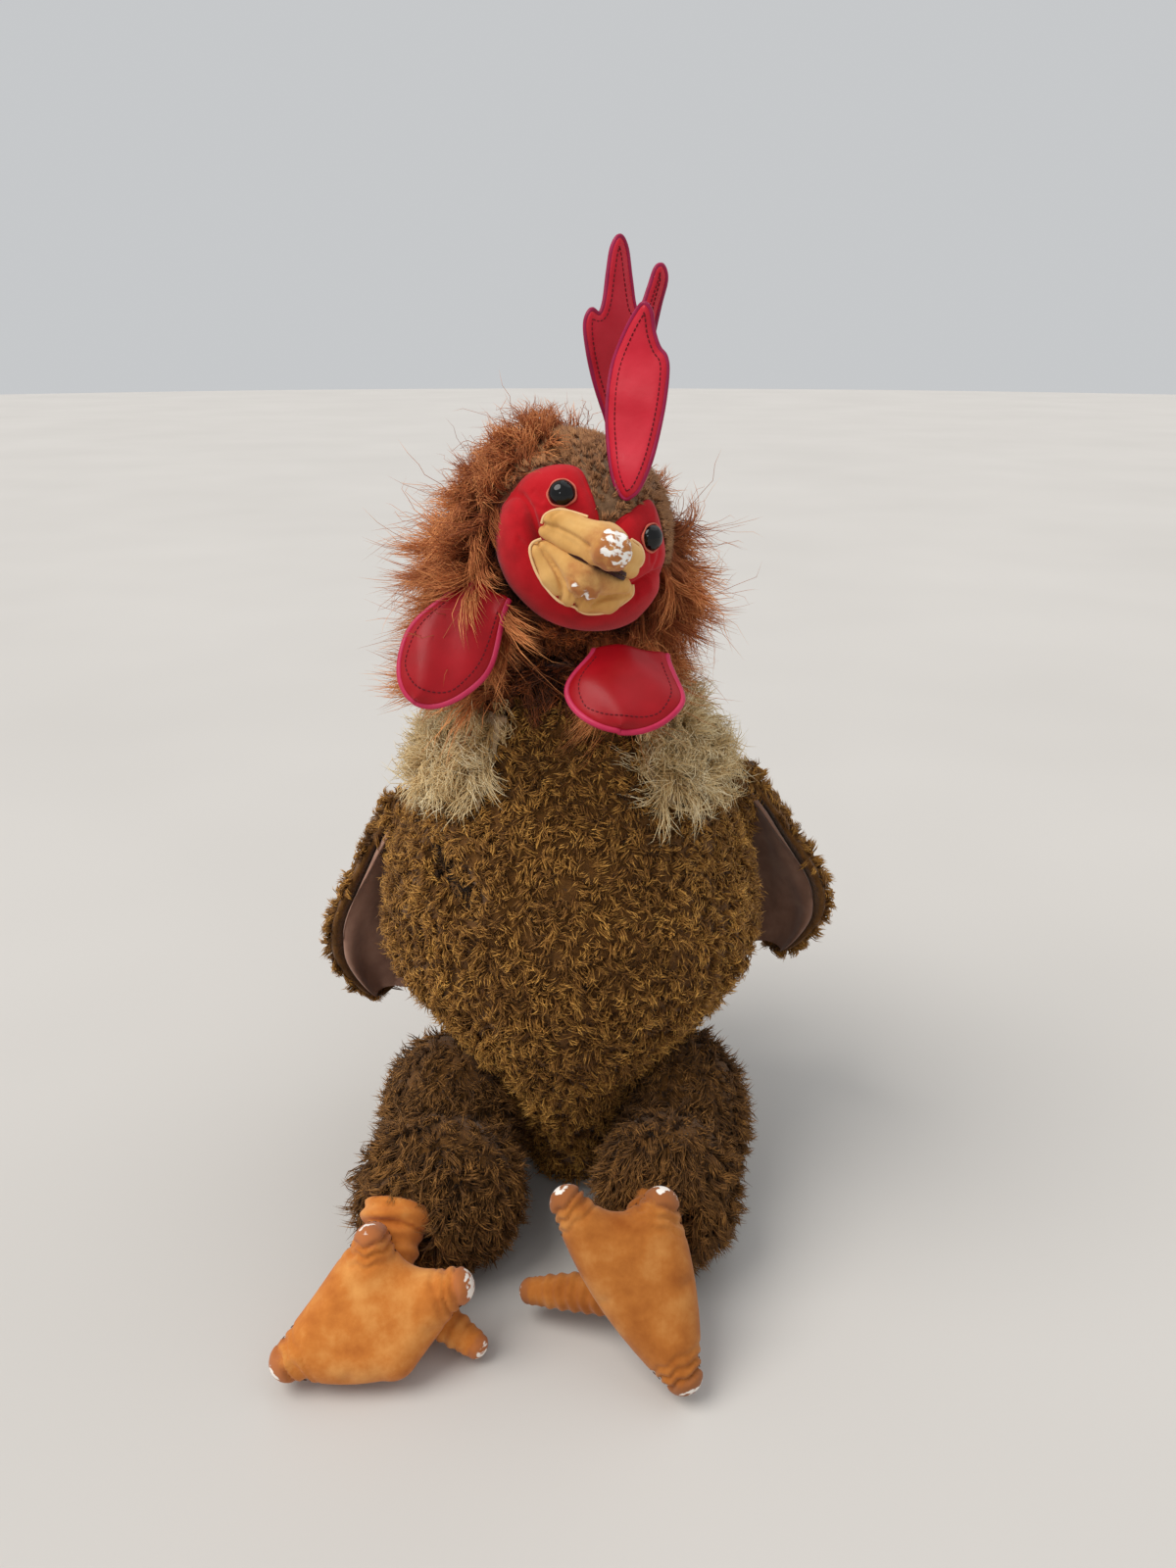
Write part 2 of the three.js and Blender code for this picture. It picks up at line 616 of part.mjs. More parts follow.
for (const [name] of SIDES) {
  const foot = FEET[name];
  const half = FOOT_THICK / 2;
  add(`foot_${name}_sole`, footLayer(foot, half - 4, half, 1.8), orangeVelour);
  add(`foot_${name}_wadding`, footLayer(foot, -half + 4 + GAP, half - 4 - GAP, 0), wadding);
  const upper = footLayer(foot, -half, -half + 4, 1.8);
  add(`foot_${name}_upper`, upper, orangeVelour);
  const behindFoot = solid(footLayer(foot, -half - GAP, 60, 0));
  add(`foot_${name}_shank`, shankSolid(name, 0).subtract(behindFoot), orangeVelour);
  const [root, tip, radii] = foot.hindToe;
  const toeTip = solid(ellipsoid(tip, Array(3).fill(radii[1]), 8, 6));
  const toe = solid(rod([root, tip], radii, 8, 1)).add(toeTip);
  const clear = behindFoot.add(shankSolid(name, GAP));
  add(`foot_${name}_hind_toe`, toe.subtract(clear), orangeVelour);
}

export default part;
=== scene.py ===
"""A seated plush rooster hand puppet: the soft looks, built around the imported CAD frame.

The row frame is in metres, +Z up, facing -Y. Shapes below are worked out in millimetres and scaled by MM.
"left" is the side at -X. The head's own axes are x to its right, y to its back and z to its crown.
"""

import json
import math

import bmesh
import bpy
import numpy as np
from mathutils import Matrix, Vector
from mathutils.kdtree import KDTree


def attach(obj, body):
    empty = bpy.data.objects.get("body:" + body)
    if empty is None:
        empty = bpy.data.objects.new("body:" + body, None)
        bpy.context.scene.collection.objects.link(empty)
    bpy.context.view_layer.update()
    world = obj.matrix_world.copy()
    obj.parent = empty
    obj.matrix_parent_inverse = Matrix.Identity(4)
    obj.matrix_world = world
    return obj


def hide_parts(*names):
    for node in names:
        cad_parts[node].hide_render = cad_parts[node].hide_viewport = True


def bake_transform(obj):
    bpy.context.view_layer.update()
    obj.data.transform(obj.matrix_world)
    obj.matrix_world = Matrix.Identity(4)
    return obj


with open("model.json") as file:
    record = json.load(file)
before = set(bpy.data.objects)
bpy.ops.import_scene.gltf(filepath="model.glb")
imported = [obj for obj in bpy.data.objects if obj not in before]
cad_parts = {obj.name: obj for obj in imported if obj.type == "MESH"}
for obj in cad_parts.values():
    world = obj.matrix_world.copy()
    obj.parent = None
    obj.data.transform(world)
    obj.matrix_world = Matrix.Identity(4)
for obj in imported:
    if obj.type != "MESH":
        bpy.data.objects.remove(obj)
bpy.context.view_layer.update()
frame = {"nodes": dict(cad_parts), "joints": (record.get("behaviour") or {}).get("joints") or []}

MM = 0.001
LEVEL = np.array([1.0, 1.0, 0.0])  # keeps the level part of a vector
SIDES = (("left", -1), ("right", 1))
JOINTS = {j["name"]: j for j in frame["joints"]}
TONES = 7  # materials in a palette
FIBRE_ROUGHNESS = 0.62
CLOTH_ROUGHNESS = 0.95
SATIN_ROUGHNESS = 0.42


# ---------------------------------------------------------------- small maths
def vec(*v):
    return np.array(v, float)


def unit(v):
    return v / np.maximum(np.linalg.norm(v, axis=-1, keepdims=True), 1e-9)


def smooth(t):
    t = np.clip(t, 0, 1)
    return t * t * (3 - 2 * t)


def mix(a, b, t):
    return a + (b - a) * t


def ripple_noise(p, size, seed, octaves=3):
    """Smooth noise of about -1 to 1 at points in millimetres; size is the width of its largest blobs."""
    rng = np.random.default_rng(seed)
    total = np.zeros(len(p))
    for octave in range(octaves):
        waves = rng.normal(size=(3, 5)) * (2 ** octave) * 2.2 / size
        total += np.sin(p @ waves + rng.uniform(0, 6.3, 5)).mean(1) / 1.6 ** octave
    return total


def turned(v, axis, angle):
    """Vectors turned about unit axes by angles in radians."""
    c, s = np.cos(angle)[:, None], np.sin(angle)[:, None]
    return v * c + np.cross(axis, v) * s + axis * (axis * v).sum(1, keepdims=True) * (1 - c)


def joint_point(name):
    return np.array(JOINTS[name]["pos_m"]) / MM


# ---------------------------------------------------------------- the head's own axes
LATERAL = unit(np.array(JOINTS["jaw_open"]["axis"], float))
BACKWARD = -unit(np.array(JOINTS["comb_sway"]["axis"], float))
HEAD_AXES = np.stack([LATERAL, BACKWARD, np.cross(LATERAL, BACKWARD)], 1)
JAW_HINGE = vec(0, -12, -8)
HEAD_CENTRE = joint_point("jaw_open") - HEAD_AXES @ JAW_HINGE
HEAD_RADII = vec(40, 44, 40)


def from_head(p):
    return HEAD_CENTRE + p @ HEAD_AXES.T


def to_head(p):
    return (p - HEAD_CENTRE) @ HEAD_AXES


# ---------------------------------------------------------------- materials
def linear(r, g, b):
    """A linear colour from 8-bit sRGB values."""
    return tuple(((c / 255 + 0.055) / 1.055) ** 2.4 if c > 10 else c / 3294 for c in (r, g, b))


def blank_material(name, roughness, sheen=0.0, specular=0.3, coat=0.0):
    m = bpy.data.materials.new(name)
    m.use_nodes = True
    shader = m.node_tree.nodes["Principled BSDF"]
    shader.inputs["Roughness"].default_value = roughness
    shader.inputs["Specular IOR Level"].default_value = specular
    shader.inputs["Sheen Weight"].default_value = sheen
    shader.inputs["Sheen Roughness"].default_value = 0.5
    shader.inputs["Coat Weight"].default_value = coat
    return m, shader


def plain(name, colour, roughness, **more):
    m, shader = blank_material(name, roughness, **more)
    shader.inputs["Base Color"].default_value = (*colour, 1)
    m.diffuse_color = (*colour, 1)
    return m


def palette(name, dark, light, slot):
    """Fibre materials from a dark root tone to a light tip tone, returned with slot, which is not used."""
    dark, light = np.array(linear(*dark)), np.array(linear(*light))
    tones = []
    # the darker root tones are painted shade deep in the pile
    for i in range(TONES):
        colour = dark * (light / dark) ** (i / (TONES - 1))
        tones.append(plain(f"{name}_{i}", tuple(colour), FIBRE_ROUGHNESS, sheen=0.04, specular=0.25))
    return tones, slot


class Nodes:
    """A short way to wire a procedural material."""

    def __init__(self, material):
        self.tree = material.node_tree
        self.shader = self.tree.nodes["Principled BSDF"]
        self.position = self.tree.nodes.new("ShaderNodeTexCoord").outputs["Object"]

    def new(self, kind, **settings):
        node = self.tree.nodes.new(kind)
        for key, value in settings.items():
            setattr(node, key, value)
        return node

    def link(self, a, b):
        self.tree.links.new(a, b)

    def noise(self, per_mm, detail=4, roughness=0.6, stretch=None):
        node = self.new("ShaderNodeTexNoise")
        node.inputs["Scale"].default_value = per_mm / MM
        node.inputs["Detail"].default_value = detail
        node.inputs["Roughness"].default_value = roughness
        source = self.position
        if stretch:
            mapping = self.new("ShaderNodeMapping")
            mapping.inputs["Scale"].default_value = stretch
            self.link(source, mapping.inputs["Vector"])
            source = mapping.outputs["Vector"]
        self.link(source, node.inputs["Vector"])
        return node.outputs["Fac"]

    def ramp(self, source, *stops):
        node = self.new("ShaderNodeValToRGB")
        ramp = node.color_ramp
        while len(ramp.elements) < len(stops):
            ramp.elements.new(0.5)
        for element, (at, colour) in zip(ramp.elements, stops):
            element.position = at
            element.color = (*colour, 1) if len(colour) == 3 else colour
        self.link(source, node.inputs["Fac"])
        return node.outputs["Color"]

    def attribute(self, name):
        return self.new("ShaderNodeAttribute", attribute_name=name).outputs["Fac"]

    def mixed(self, factor, a, b):
        node = self.new("ShaderNodeMix", data_type="RGBA")
        self.link(factor, node.inputs["Factor"])
        for value, socket in ((a, node.inputs["A"]), (b, node.inputs["B"])):
            if isinstance(value, tuple):
                socket.default_value = (*value, 1)
            else:
                self.link(value, socket)
        return node.outputs["Result"]

    def maths(self, operation, a, b):
        node = self.new("ShaderNodeMath", operation=operation)
        for value, socket in ((a, node.inputs[0]), (b, node.inputs[1])):
            if isinstance(value, (int, float)):
                socket.default_value = value
            else:
                self.link(value, socket)
        return node.outputs[0]

    def colour(self, source):
        self.link(source, self.shader.inputs["Base Color"])

    def bump(self, height, strength, depth_mm):
        node = self.new("ShaderNodeBump")
        node.inputs["Strength"].default_value = strength
        node.inputs["Distance"].default_value = depth_mm * MM
        self.link(height, node.inputs["Height"])
        self.link(node.outputs["Normal"], self.shader.inputs["Normal"])


def backing_cloth(name, dark, light):
    """The knitted backing seen between fibres."""
    m, _ = blank_material(name, CLOTH_ROUGHNESS, sheen=0.2, specular=0.1)
    n = Nodes(m)
    n.colour(n.ramp(n.noise(0.35), (0.3, linear(*dark)), (0.75, linear(*light))))
    n.bump(n.noise(0.9), 0.8, 1.0)
    return m


def velour(name, shadow, body, light, wear=None, grime=None):
    """Short-napped cloth: mottled by brushed nap, with worn patches where the "wear" attribute is high."""
    m, _ = blank_material(name, CLOTH_ROUGHNESS, sheen=0.15, specular=0.1)
    n = Nodes(m)
    stops = (0.25, linear(*shadow)), (0.5, linear(*body)), (0.8, linear(*light))
    mottled = n.ramp(n.noise(0.06, 5), *stops)
    if grime:
        amount = n.maths("MULTIPLY", n.attribute("grime"), n.noise(0.25, 4))
        stain = n.ramp(amount, (0.12, (0, 0, 0)), (0.42, (1, 1, 1)))
        mottled = n.mixed(stain, mottled, linear(*grime))
    if wear:
        amount = n.maths("MULTIPLY", n.attribute("wear"), n.noise(0.22, 3, 0.45, (1, 1, 1.7)))
        bald = n.ramp(amount, (0.47, (0, 0, 0)), (0.53, (1, 1, 1)))
        mottled = n.mixed(bald, mottled, linear(*wear))
    n.colour(mottled)
    n.bump(n.noise(2.2, 3, 0.7), 0.35, 0.25)
    return m


def satin(name, body, light, roughness=SATIN_ROUGHNESS):
    """Coated satin cloth, soft-glossed, with faint creases."""
    m, _ = blank_material(name, roughness, specular=0.22, coat=0.02)
    n = Nodes(m)
    n.colour(n.ramp(n.noise(0.05, 3), (0.3, linear(*body)), (0.75, linear(*light))))
    n.bump(n.noise(0.12, 4), 0.25, 0.7)
    return m


def plastic(name, roughness, specular, per_mm, dark, light):
    """Moulded plastic with a faint tone."""
    m, _ = blank_material(name, roughness, specular=specular)
    n = Nodes(m)
    n.colour(n.ramp(n.noise(per_mm), (0.3, linear(*dark)), (0.8, linear(*light))))
    return m


# ---------------------------------------------------------------- making meshes
def make_object(name, points, faces, materials, tones=None, shade_smooth=True):
    """A mesh from points in millimetres and an array of equal-sided faces."""
    faces = np.asarray(faces)
    sides = faces.shape[1]
    mesh = bpy.data.meshes.new(name)
    mesh.vertices.add(len(points))
    mesh.vertices.foreach_set("co", (np.asarray(points) * MM).astype(np.float32).ravel())
    mesh.loops.add(faces.size)
    mesh.loops.foreach_set("vertex_index", faces.astype(np.int32).ravel())
    mesh.polygons.add(len(faces))
    mesh.polygons.foreach_set("loop_start", np.arange(0, faces.size, sides, dtype=np.int32))
    if tones is not None:
        mesh.polygons.foreach_set("material_index", tones.astype(np.int32))
    mesh.update(calc_edges=True)
    mesh.polygons.foreach_set("use_smooth", np.full(len(faces), shade_smooth))
    for m in materials:
        mesh.materials.append(m)
    obj = bpy.data.objects.new(name, mesh)
    bpy.context.scene.collection.objects.link(obj)
    return obj


def attribute(obj, name, values):
    layer = obj.data.attributes.new(name, "FLOAT", "POINT")
    layer.data.foreach_set("value", np.asarray(values, np.float32))


def applied(obj):
    """obj with its modifiers worked into its mesh."""
    graph = bpy.context.evaluated_depsgraph_get()
    mesh = bpy.data.meshes.new_from_object(obj.evaluated_get(graph))
    obj.modifiers.clear()
    obj.data = mesh
    return obj


def triples(items, name, kind=np.float32):
    """A three-part property of every item of a mesh, one row each."""
    values = np.empty(len(items) * 3, kind)
    items.foreach_get(name, values)
    return values.reshape(-1, 3)


def points_of(obj):
    return triples(obj.data.vertices, "co").astype(float) / MM


def set_points(obj, points):
    obj.data.vertices.foreach_set("co", (points * MM).astype(np.float32).ravel())
    obj.data.update()


def normals_of(obj):
    return triples(obj.data.vertices, "normal").astype(float)


def make_smooth(mesh):
    mesh.polygons.foreach_set("use_smooth", np.ones(len(mesh.polygons), bool))


WELD = 0.02  # millimetres


def soft_skin(name, nodes, voxel, rounds, material):
    """One rounded skin over copies of CAD nodes: fused by a voxel remesh, then relaxed."""
    points, faces, start = [], [], 0
    for node in nodes:
        mesh = frame["nodes"][node].data
        mesh.calc_loop_triangles()
        points.append(triples(mesh.vertices, "co") / MM)
        faces.append(triples(mesh.loop_triangles, "vertices", np.int32) + start)
        start += len(mesh.vertices)
    obj = make_object(name, np.concatenate(points), np.concatenate(faces), [material])
    weld = obj.modifiers.new("weld", "WELD")
    weld.merge_threshold = WELD * MM
    remesh = obj.modifiers.new("remesh", "REMESH")
    remesh.mode = "VOXEL"
    remesh.voxel_size = voxel * MM
    relax = obj.modifiers.new("relax", "SMOOTH")
    relax.factor = 0.5
    relax.iterations = rounds
    applied(obj)
    make_smooth(obj.data)
    if not obj.data.materials:
        obj.data.materials.append(material)
    return obj


def surface_nets(field, low, high, step):
    """The zero surface of a signed-distance field, as points and quads."""
    axes = [np.arange(low[k], high[k] + step, step) for k in range(3)]
    grid = np.stack(np.meshgrid(*axes, indexing="ij"), -1)
    value = field(grid.reshape(-1, 3)).reshape(grid.shape[:3])
    cells = tuple(s - 1 for s in value.shape)
    total, count = np.zeros((*cells, 3)), np.zeros(cells)
    crossings = []
    for axis in range(3):
        first = tuple(slice(0, -1) if k == axis else slice(None) for k in range(3))
        second = tuple(slice(1, None) if k == axis else slice(None) for k in range(3))
        a, b = value[first], value[second]
        cross = (a < 0) != (b < 0)
        t = np.where(cross, a / np.where(cross, a - b, 1), 0)
        at = grid[first].copy()
        at[..., axis] += t * step
        o1, o2 = (axis + 1) % 3, (axis + 2) % 3
        for d1 in (0, 1):
            for d2 in (0, 1):
                part = [slice(None)] * 3
                part[o1] = slice(d1, d1 + cells[o1])
                part[o2] = slice(d2, d2 + cells[o2])
                part = tuple(part)
                total += at[part] * cross[part][..., None]
                count += cross[part]
        crossings.append((cross, a < 0))
    number = np.full(cells, -1)
    used = count > 0
    number[used] = np.arange(used.sum())
    points = total[used] / count[used][:, None]
    quads = []
    for axis, (cross, outward) in enumerate(crossings):
        o1, o2 = (axis + 1) % 3, (axis + 2) % 3
        where = np.argwhere(cross)
        where = where[np.all([(where[:, o] > 0) & (where[:, o] < cells[o]) for o in (o1, o2)], axis=0)]
        corners = []
        for d1, d2 in ((1, 1), (0, 1), (0, 0), (1, 0)):
            cell = where.copy()
            cell[:, o1] -= d1
            cell[:, o2] -= d2
            corners.append(number[tuple(cell.T)])
        quad = np.stack(corners, 1)
        flip = ~outward[tuple(where.T)]
        quad[flip] = quad[flip][:, ::-1]
        quads.append(quad)
    return points, np.concatenate(quads)


def settle(field, points, rounds=2, reach=0.02):
    """Moves points onto the zero surface along its gradient."""
    for _ in range(rounds):
        value = field(points)
        gradient = np.stack([(field(points + reach * e) - value) / reach for e in np.eye(3)], 1)
        points = points - (value / np.maximum((gradient ** 2).sum(1), 0.2))[:, None] * gradient
    return points


def implicit(name, field, low, high, step, material, place=lambda p: p):
    """A smooth piece from a signed-distance field in its own axes, with its points in those axes."""
    points, quads = surface_nets(field, low, high, step)
    points = settle(field, points)
    return make_object(name, place(points), quads, [material]), points


def ellipsoid(p, centre, radii):
    q = (p - centre) / radii
    k0 = np.linalg.norm(q, axis=1)
    return k0 * (k0 - 1) / np.maximum(np.linalg.norm(q / radii, axis=1), 1e-9)


def cone(p, a, b, ra, rb):
    """A rod from a to b with round ends of radii ra and rb."""
    a, b = np.asarray(a, float), np.asarray(b, float)
    along = np.clip(((p - a) @ (b - a)) / ((b - a) @ (b - a)), 0, 1)
    return np.linalg.norm(p - a - along[:, None] * (b - a), axis=1) - mix(ra, rb, along)


def joined(a, b, k):
    """The smooth union of two distances."""
    h = np.clip(0.5 + 0.5 * (b - a) / k, 0, 1)
    return mix(b, a, h) - k * h * (1 - h)


def tube(name, path, radius, material, sides=8, ring=False):
    """A tube along points in millimetres; radius may change along it."""
    path = np.asarray(path, float)
    n = len(path)
    radius = np.broadcast_to(radius, n)
    step = np.roll(path, -1, 0) - np.roll(path, 1, 0) if ring else np.gradient(path, axis=0)
    along = unit(step)
    up = np.zeros((n, 3))
    normal = unit(np.cross(along[0], vec(0.3, 0.5, 0.8)))
    for i in range(n):
        normal = unit(normal - along[i] * (normal @ along[i]))
        up[i] = normal
    side = np.cross(along, up)
    angle = np.arange(sides) * 2 * math.pi / sides
    spokes = up[:, None] * np.cos(angle)[:, None] + side[:, None] * np.sin(angle)[:, None]
    points = (path[:, None] + spokes * radius[:, None, None]).reshape(-1, 3)
    i, j = np.meshgrid(np.arange(n if ring else n - 1), np.arange(sides), indexing="ij")
    here, there = i * sides, (i + 1) % n * sides
    j2 = (j + 1) % sides
    faces = np.stack([here + j, here + j2, there + j2, there + j], -1).reshape(-1, 4)
    if not ring:  # close the ends with a fan to a middle point
        ends = np.array([path[0], path[-1]])
        first, last = len(points), len(points) + 1
        points = np.concatenate([points, ends])
        k = np.arange(sides)
        k2 = (k + 1) % sides
        base = (n - 1) * sides
        caps = [np.stack([first + 0 * k, k2, k], 1), np.stack([last + 0 * k, base + k, base + k2], 1)]
        faces = np.concatenate([faces[:, [0, 1, 2]], faces[:, [0, 2, 3]], *caps])
    return make_object(name, points, faces, [material])


def slab(name, columns, rows, shape, material):
    """A closed padded sheet. shape(u, v, w) gives its points: u and v run from 0 to 1, and w is 1 or -1."""
    u, v = np.meshgrid(np.linspace(0, 1, columns + 1), np.linspace(0, 1, rows + 1), indexing="ij")
    u, v = u.ravel(), v.ravel()
    front, back = shape(u, v, 1.0), shape(u, v, -1.0)
    n = len(u)
    i, j = np.meshgrid(np.arange(columns), np.arange(rows), indexing="ij")
    a = (i * (rows + 1) + j).ravel()
    b, c, d = a + rows + 1, a + rows + 2, a + 1
    faces = [np.stack([a, b, c, d], 1), np.stack([a, d, c, b], 1) + n]
    low, high = np.arange(columns) * (rows + 1), np.arange(columns) * (rows + 1) + rows
    left, right = np.arange(rows), columns * (rows + 1) + np.arange(rows)
    for edge, step, flip in ((low, rows + 1, 1), (high, rows + 1, 0), (left, 1, 0), (right, 1, 1)):
        quad = np.stack([edge, edge + step, edge + step + n, edge + n], 1)
        faces.append(quad[:, ::-1] if flip else quad)
    obj = make_object(name, np.concatenate([front, back]), np.concatenate(faces), [material])
    outward(obj)
    return obj


def outward(obj):
    """Turns a closed mesh's faces outwards."""
    bm = bmesh.new()
    bm.from_mesh(obj.data)
    bmesh.ops.recalc_face_normals(bm, faces=bm.faces)
    bm.to_mesh(obj.data)
    bm.free()


# ---------------------------------------------------------------- fur
MOST_TRIANGLES = 180_000  # in one fur piece
FLOOR_CLEAR = 0.4  # millimetres that fibres keep above the floor
ROOT_DEPTH = 0.6  # millimetres that they start below the skin
LENGTHS, CURLS, THICKNESSES = (0.65, 1.15), (0.6, 1.25), (0.75, 1.3)  # ranges, as factors
TAPER = 0.55  # of the radius lost at the tip
# fibres darken towards their roots: painted shade deep in the pile
TONE_RISE = 3.2  # tones from the root to the tip
FIBRE_SIDES = 3


class Skin:
    """Triangles of a skin that fibres are rooted in."""

    def __init__(self, obj):
        mesh = obj.data
        mesh.calc_loop_triangles()
        self.tri = triples(mesh.loop_triangles, "vertices", np.int32)
        self.points, self.normals = points_of(obj), normals_of(obj)
        a, b, c = (self.points[self.tri[:, k]] for k in range(3))
        self.area = np.linalg.norm(np.cross(b - a, c - a), axis=1) / 2
        self.middle = (a + b + c) / 3
        self.facing = unit(self.normals[self.tri].mean(1))

    def sample(self, count, rng, density):
        weight = self.area * density
        chosen = rng.choice(len(self.tri), count, p=weight / weight.sum())
        r1, r2 = np.sqrt(rng.random(count)), rng.random(count)
        share = np.stack([1 - r1, r1 * (1 - r2), r1 * r2], 1)
        corners = self.tri[chosen]
        at = (self.points[corners] * share[..., None]).sum(1)
        return at, unit((self.normals[corners] * share[..., None]).sum(1))


def fur(name, body, obj, fibre, *, count, length, radius, seed, where=None, lean=None, clump, rise=0.8,
        curl, tight=0.5, frizz=0.4, pull=(0, 0, 0), scatter=0.35, segments=3, patches, variety=1.0,
        reach=None):
    """Fibres rooted on a skin, gathered in clumps that curl together. Lengths are in millimetres.

    fibre is a palette. where gives a density from points and normals, lean the way that fibres are combed
    and reach a factor on length. clump is the clumps' spacing, rise how far they stand up, curl their whole
    turn in radians, tight how far their tips gather, frizz and scatter how much they stray, pull gravity,
    patches the size of the patches of tone and variety how much those differ.
    """
    rng = np.random.default_rng(seed)
    skin = Skin(obj)
    density = where(skin.middle, skin.facing) if where else np.ones(len(skin.tri))
    area = (skin.area * density).sum()
    centres = max(8, int(area / clump ** 2))
    root, normal = skin.sample(centres, rng, density)
    way = normal * rise + rng.normal(size=(centres, 3)) * scatter
    if lean is not None:
        way += lean(root, normal)
    way = unit(way)
    axis = unit(np.cross(normal, rng.normal(size=(centres, 3))))
    amount = curl * rng.uniform(*CURLS, centres) / segments
    steps = [np.zeros((centres, 3))]
    for _ in range(segments):
        steps.append(steps[-1] + way / segments)
        way = unit(turned(way, axis, amount) + np.array(pull) / segments)
    guide = np.stack(steps, 1)
    tone_of_clump = variety * (ripple_noise(root, patches, seed + 1) * 1.1 + rng.normal(size=centres) * 0.6)

    at, out = skin.sample(count, rng, density)
    tree = KDTree(centres)
    for i, p in enumerate(root):
        tree.insert(p, i)
    tree.balance()
    own = np.array([tree.find(p)[1] for p in at])
    size = length * rng.uniform(*LENGTHS, count)
    if reach is not None:
        size = size * reach(at, out)
    t = np.linspace(0, 1, segments + 1)
    path = at[:, None] - out[:, None] * ROOT_DEPTH + guide[own] * size[:, None, None]
    path += (root[own] - at)[:, None] * (tight * t ** 1.2)[None, :, None]
    stray = np.cumsum(rng.normal(size=(count, segments + 1, 3)), 1)
    path += stray * (frizz * t)[None, :, None]
    tone = tone_of_clump[own] + rng.normal(size=count) * 0.7
    strands(name, body, path, radius * rng.uniform(*THICKNESSES, count), tone, fibre)


def strands(name, body, path, radius, tone, fibre):
    """Three-sided tapering tubes along paths, coloured from dark roots to light tips; the darker roots are
    painted shade deep in the pile.
    """
    tones, slot = fibre
    count, rings = path.shape[:2]
    path[..., 2] = np.maximum(path[..., 2], FLOOR_CLEAR)
    along = unit(np.gradient(path, axis=1))
    side = unit(np.cross(along, unit(vec(0.37, -0.61, 0.70))))
    across = np.cross(along, side)
    taper = 1 - TAPER * np.linspace(0, 1, rings) ** 2
    segments = rings - 1
    each = FIBRE_SIDES * segments + 1
    points = np.empty((count, each, 3))
    for k in range(FIBRE_SIDES):
        a = 2 * math.pi * k / FIBRE_SIDES
        spoke = side[:, :-1] * math.cos(a) + across[:, :-1] * math.sin(a)
        points[:, k:-1:FIBRE_SIDES] = path[:, :-1] + spoke * (radius[:, None] * taper[:-1])[..., None]
    points[:, -1] = path[:, -1]
    faces, zone = [], []
    for s in range(segments):
        for k in range(FIBRE_SIDES):
            a, b = FIBRE_SIDES * s + k, FIBRE_SIDES * s + (k + 1) % FIBRE_SIDES
            if s < segments - 1:
                faces += [(a, b, b + FIBRE_SIDES), (a, b + FIBRE_SIDES, a + FIBRE_SIDES)]
                zone += [s, s]
            else:
                faces.append((a, b, each - 1))
                zone.append(s)
    faces.append((0, 2, 1))
    zone.append(0)
    faces, zone = np.array(faces), np.array(zone)
    # the tone falls towards the root: painted shade deep in the pile
    lift = (zone / max(1, segments - 1) - 0.5) * TONE_RISE
    middle = (len(tones) - 1) / 2
    per_piece = MOST_TRIANGLES // len(faces)
    for number, start in enumerate(range(0, count, per_piece)):
        part = slice(start, min(count, start + per_piece))
        size = part.stop - part.start
        all_faces = (faces[None] + (np.arange(size) * each)[:, None, None]).reshape(-1, 3)
        shade = np.clip(np.rint(middle + tone[part][:, None] + lift[None]), 0, len(tones) - 1)
        own = points[part].reshape(-1, 3)
        piece = make_object(f"{name}_{number:02d}", own, all_faces, tones, shade.ravel())
        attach(piece, body)


STITCH_WIDTHS = np.array([0.3, 1.0, 1.0, 0.3])
STITCH_END = 0.15  # of a stitch's length, where it narrows


def stitches(name, path, normal_of, length, gap, radius, material):
    """A row of short raised stitches along a path, as one mesh."""
    path = np.asarray(path, float)
    run = np.concatenate([[0], np.cumsum(np.linalg.norm(np.diff(path, axis=0), axis=1))])
    starts = np.arange(gap, run[-1] - length, length + gap)

    def at(s):
        return np.stack([np.interp(s, run, path[:, k]) for k in range(3)], 1)

    a, b = at(starts), at(starts + length)
    rings = np.stack([a, a * (1 - STITCH_END) + b * STITCH_END, a * STITCH_END + b * (1 - STITCH_END), b], 1)
    along, up = unit(b - a), unit(normal_of((a + b) / 2))
    side = np.cross(along, up)
    width = (radius * STITCH_WIDTHS)[None, :, None]
    corners = []
    for lift, shift in ((1, 0), (0, 1), (-1, 0), (0, -1)):
        corners.append(rings + (up * lift)[:, None] * width + (side * shift)[:, None] * width)
    points = np.stack(corners, 2).reshape(-1, 3)
    faces = []
    for ring in range(3):
        for k in range(4):
            k2 = (k + 1) % 4
            faces.append((4 * ring + k, 4 * ring + k2, 4 * ring + 4 + k2, 4 * ring + 4 + k))
    faces += [(3, 2, 1, 0), (12, 13, 14, 15)]
    faces = (np.array(faces)[None] + 16 * np.arange(len(starts))[:, None, None]).reshape(-1, 4)
    return make_object(name, points, faces, [material])


def curve_through(points, count, ring=False):
    """Points along a smooth curve through the given ones (Catmull-Rom)."""
    p = np.asarray(points, float)
    n = len(p)
    spans = n if ring else n - 1
    t = np.linspace(0, spans, count, endpoint=not ring)
    i = np.minimum(t.astype(int), spans - 1)
    f = (t - i)[:, None]

    def knot(k):
        return p[k % n] if ring else p[np.clip(k, 0, n - 1)]

    a, b, c, d = knot(i - 1), knot(i), knot(i + 1), knot(i + 2)
    return b + 0.5 * f * (c - a + f * (2 * a - 5 * b + 4 * c - d + f * (3 * (b - c) + d - a)))


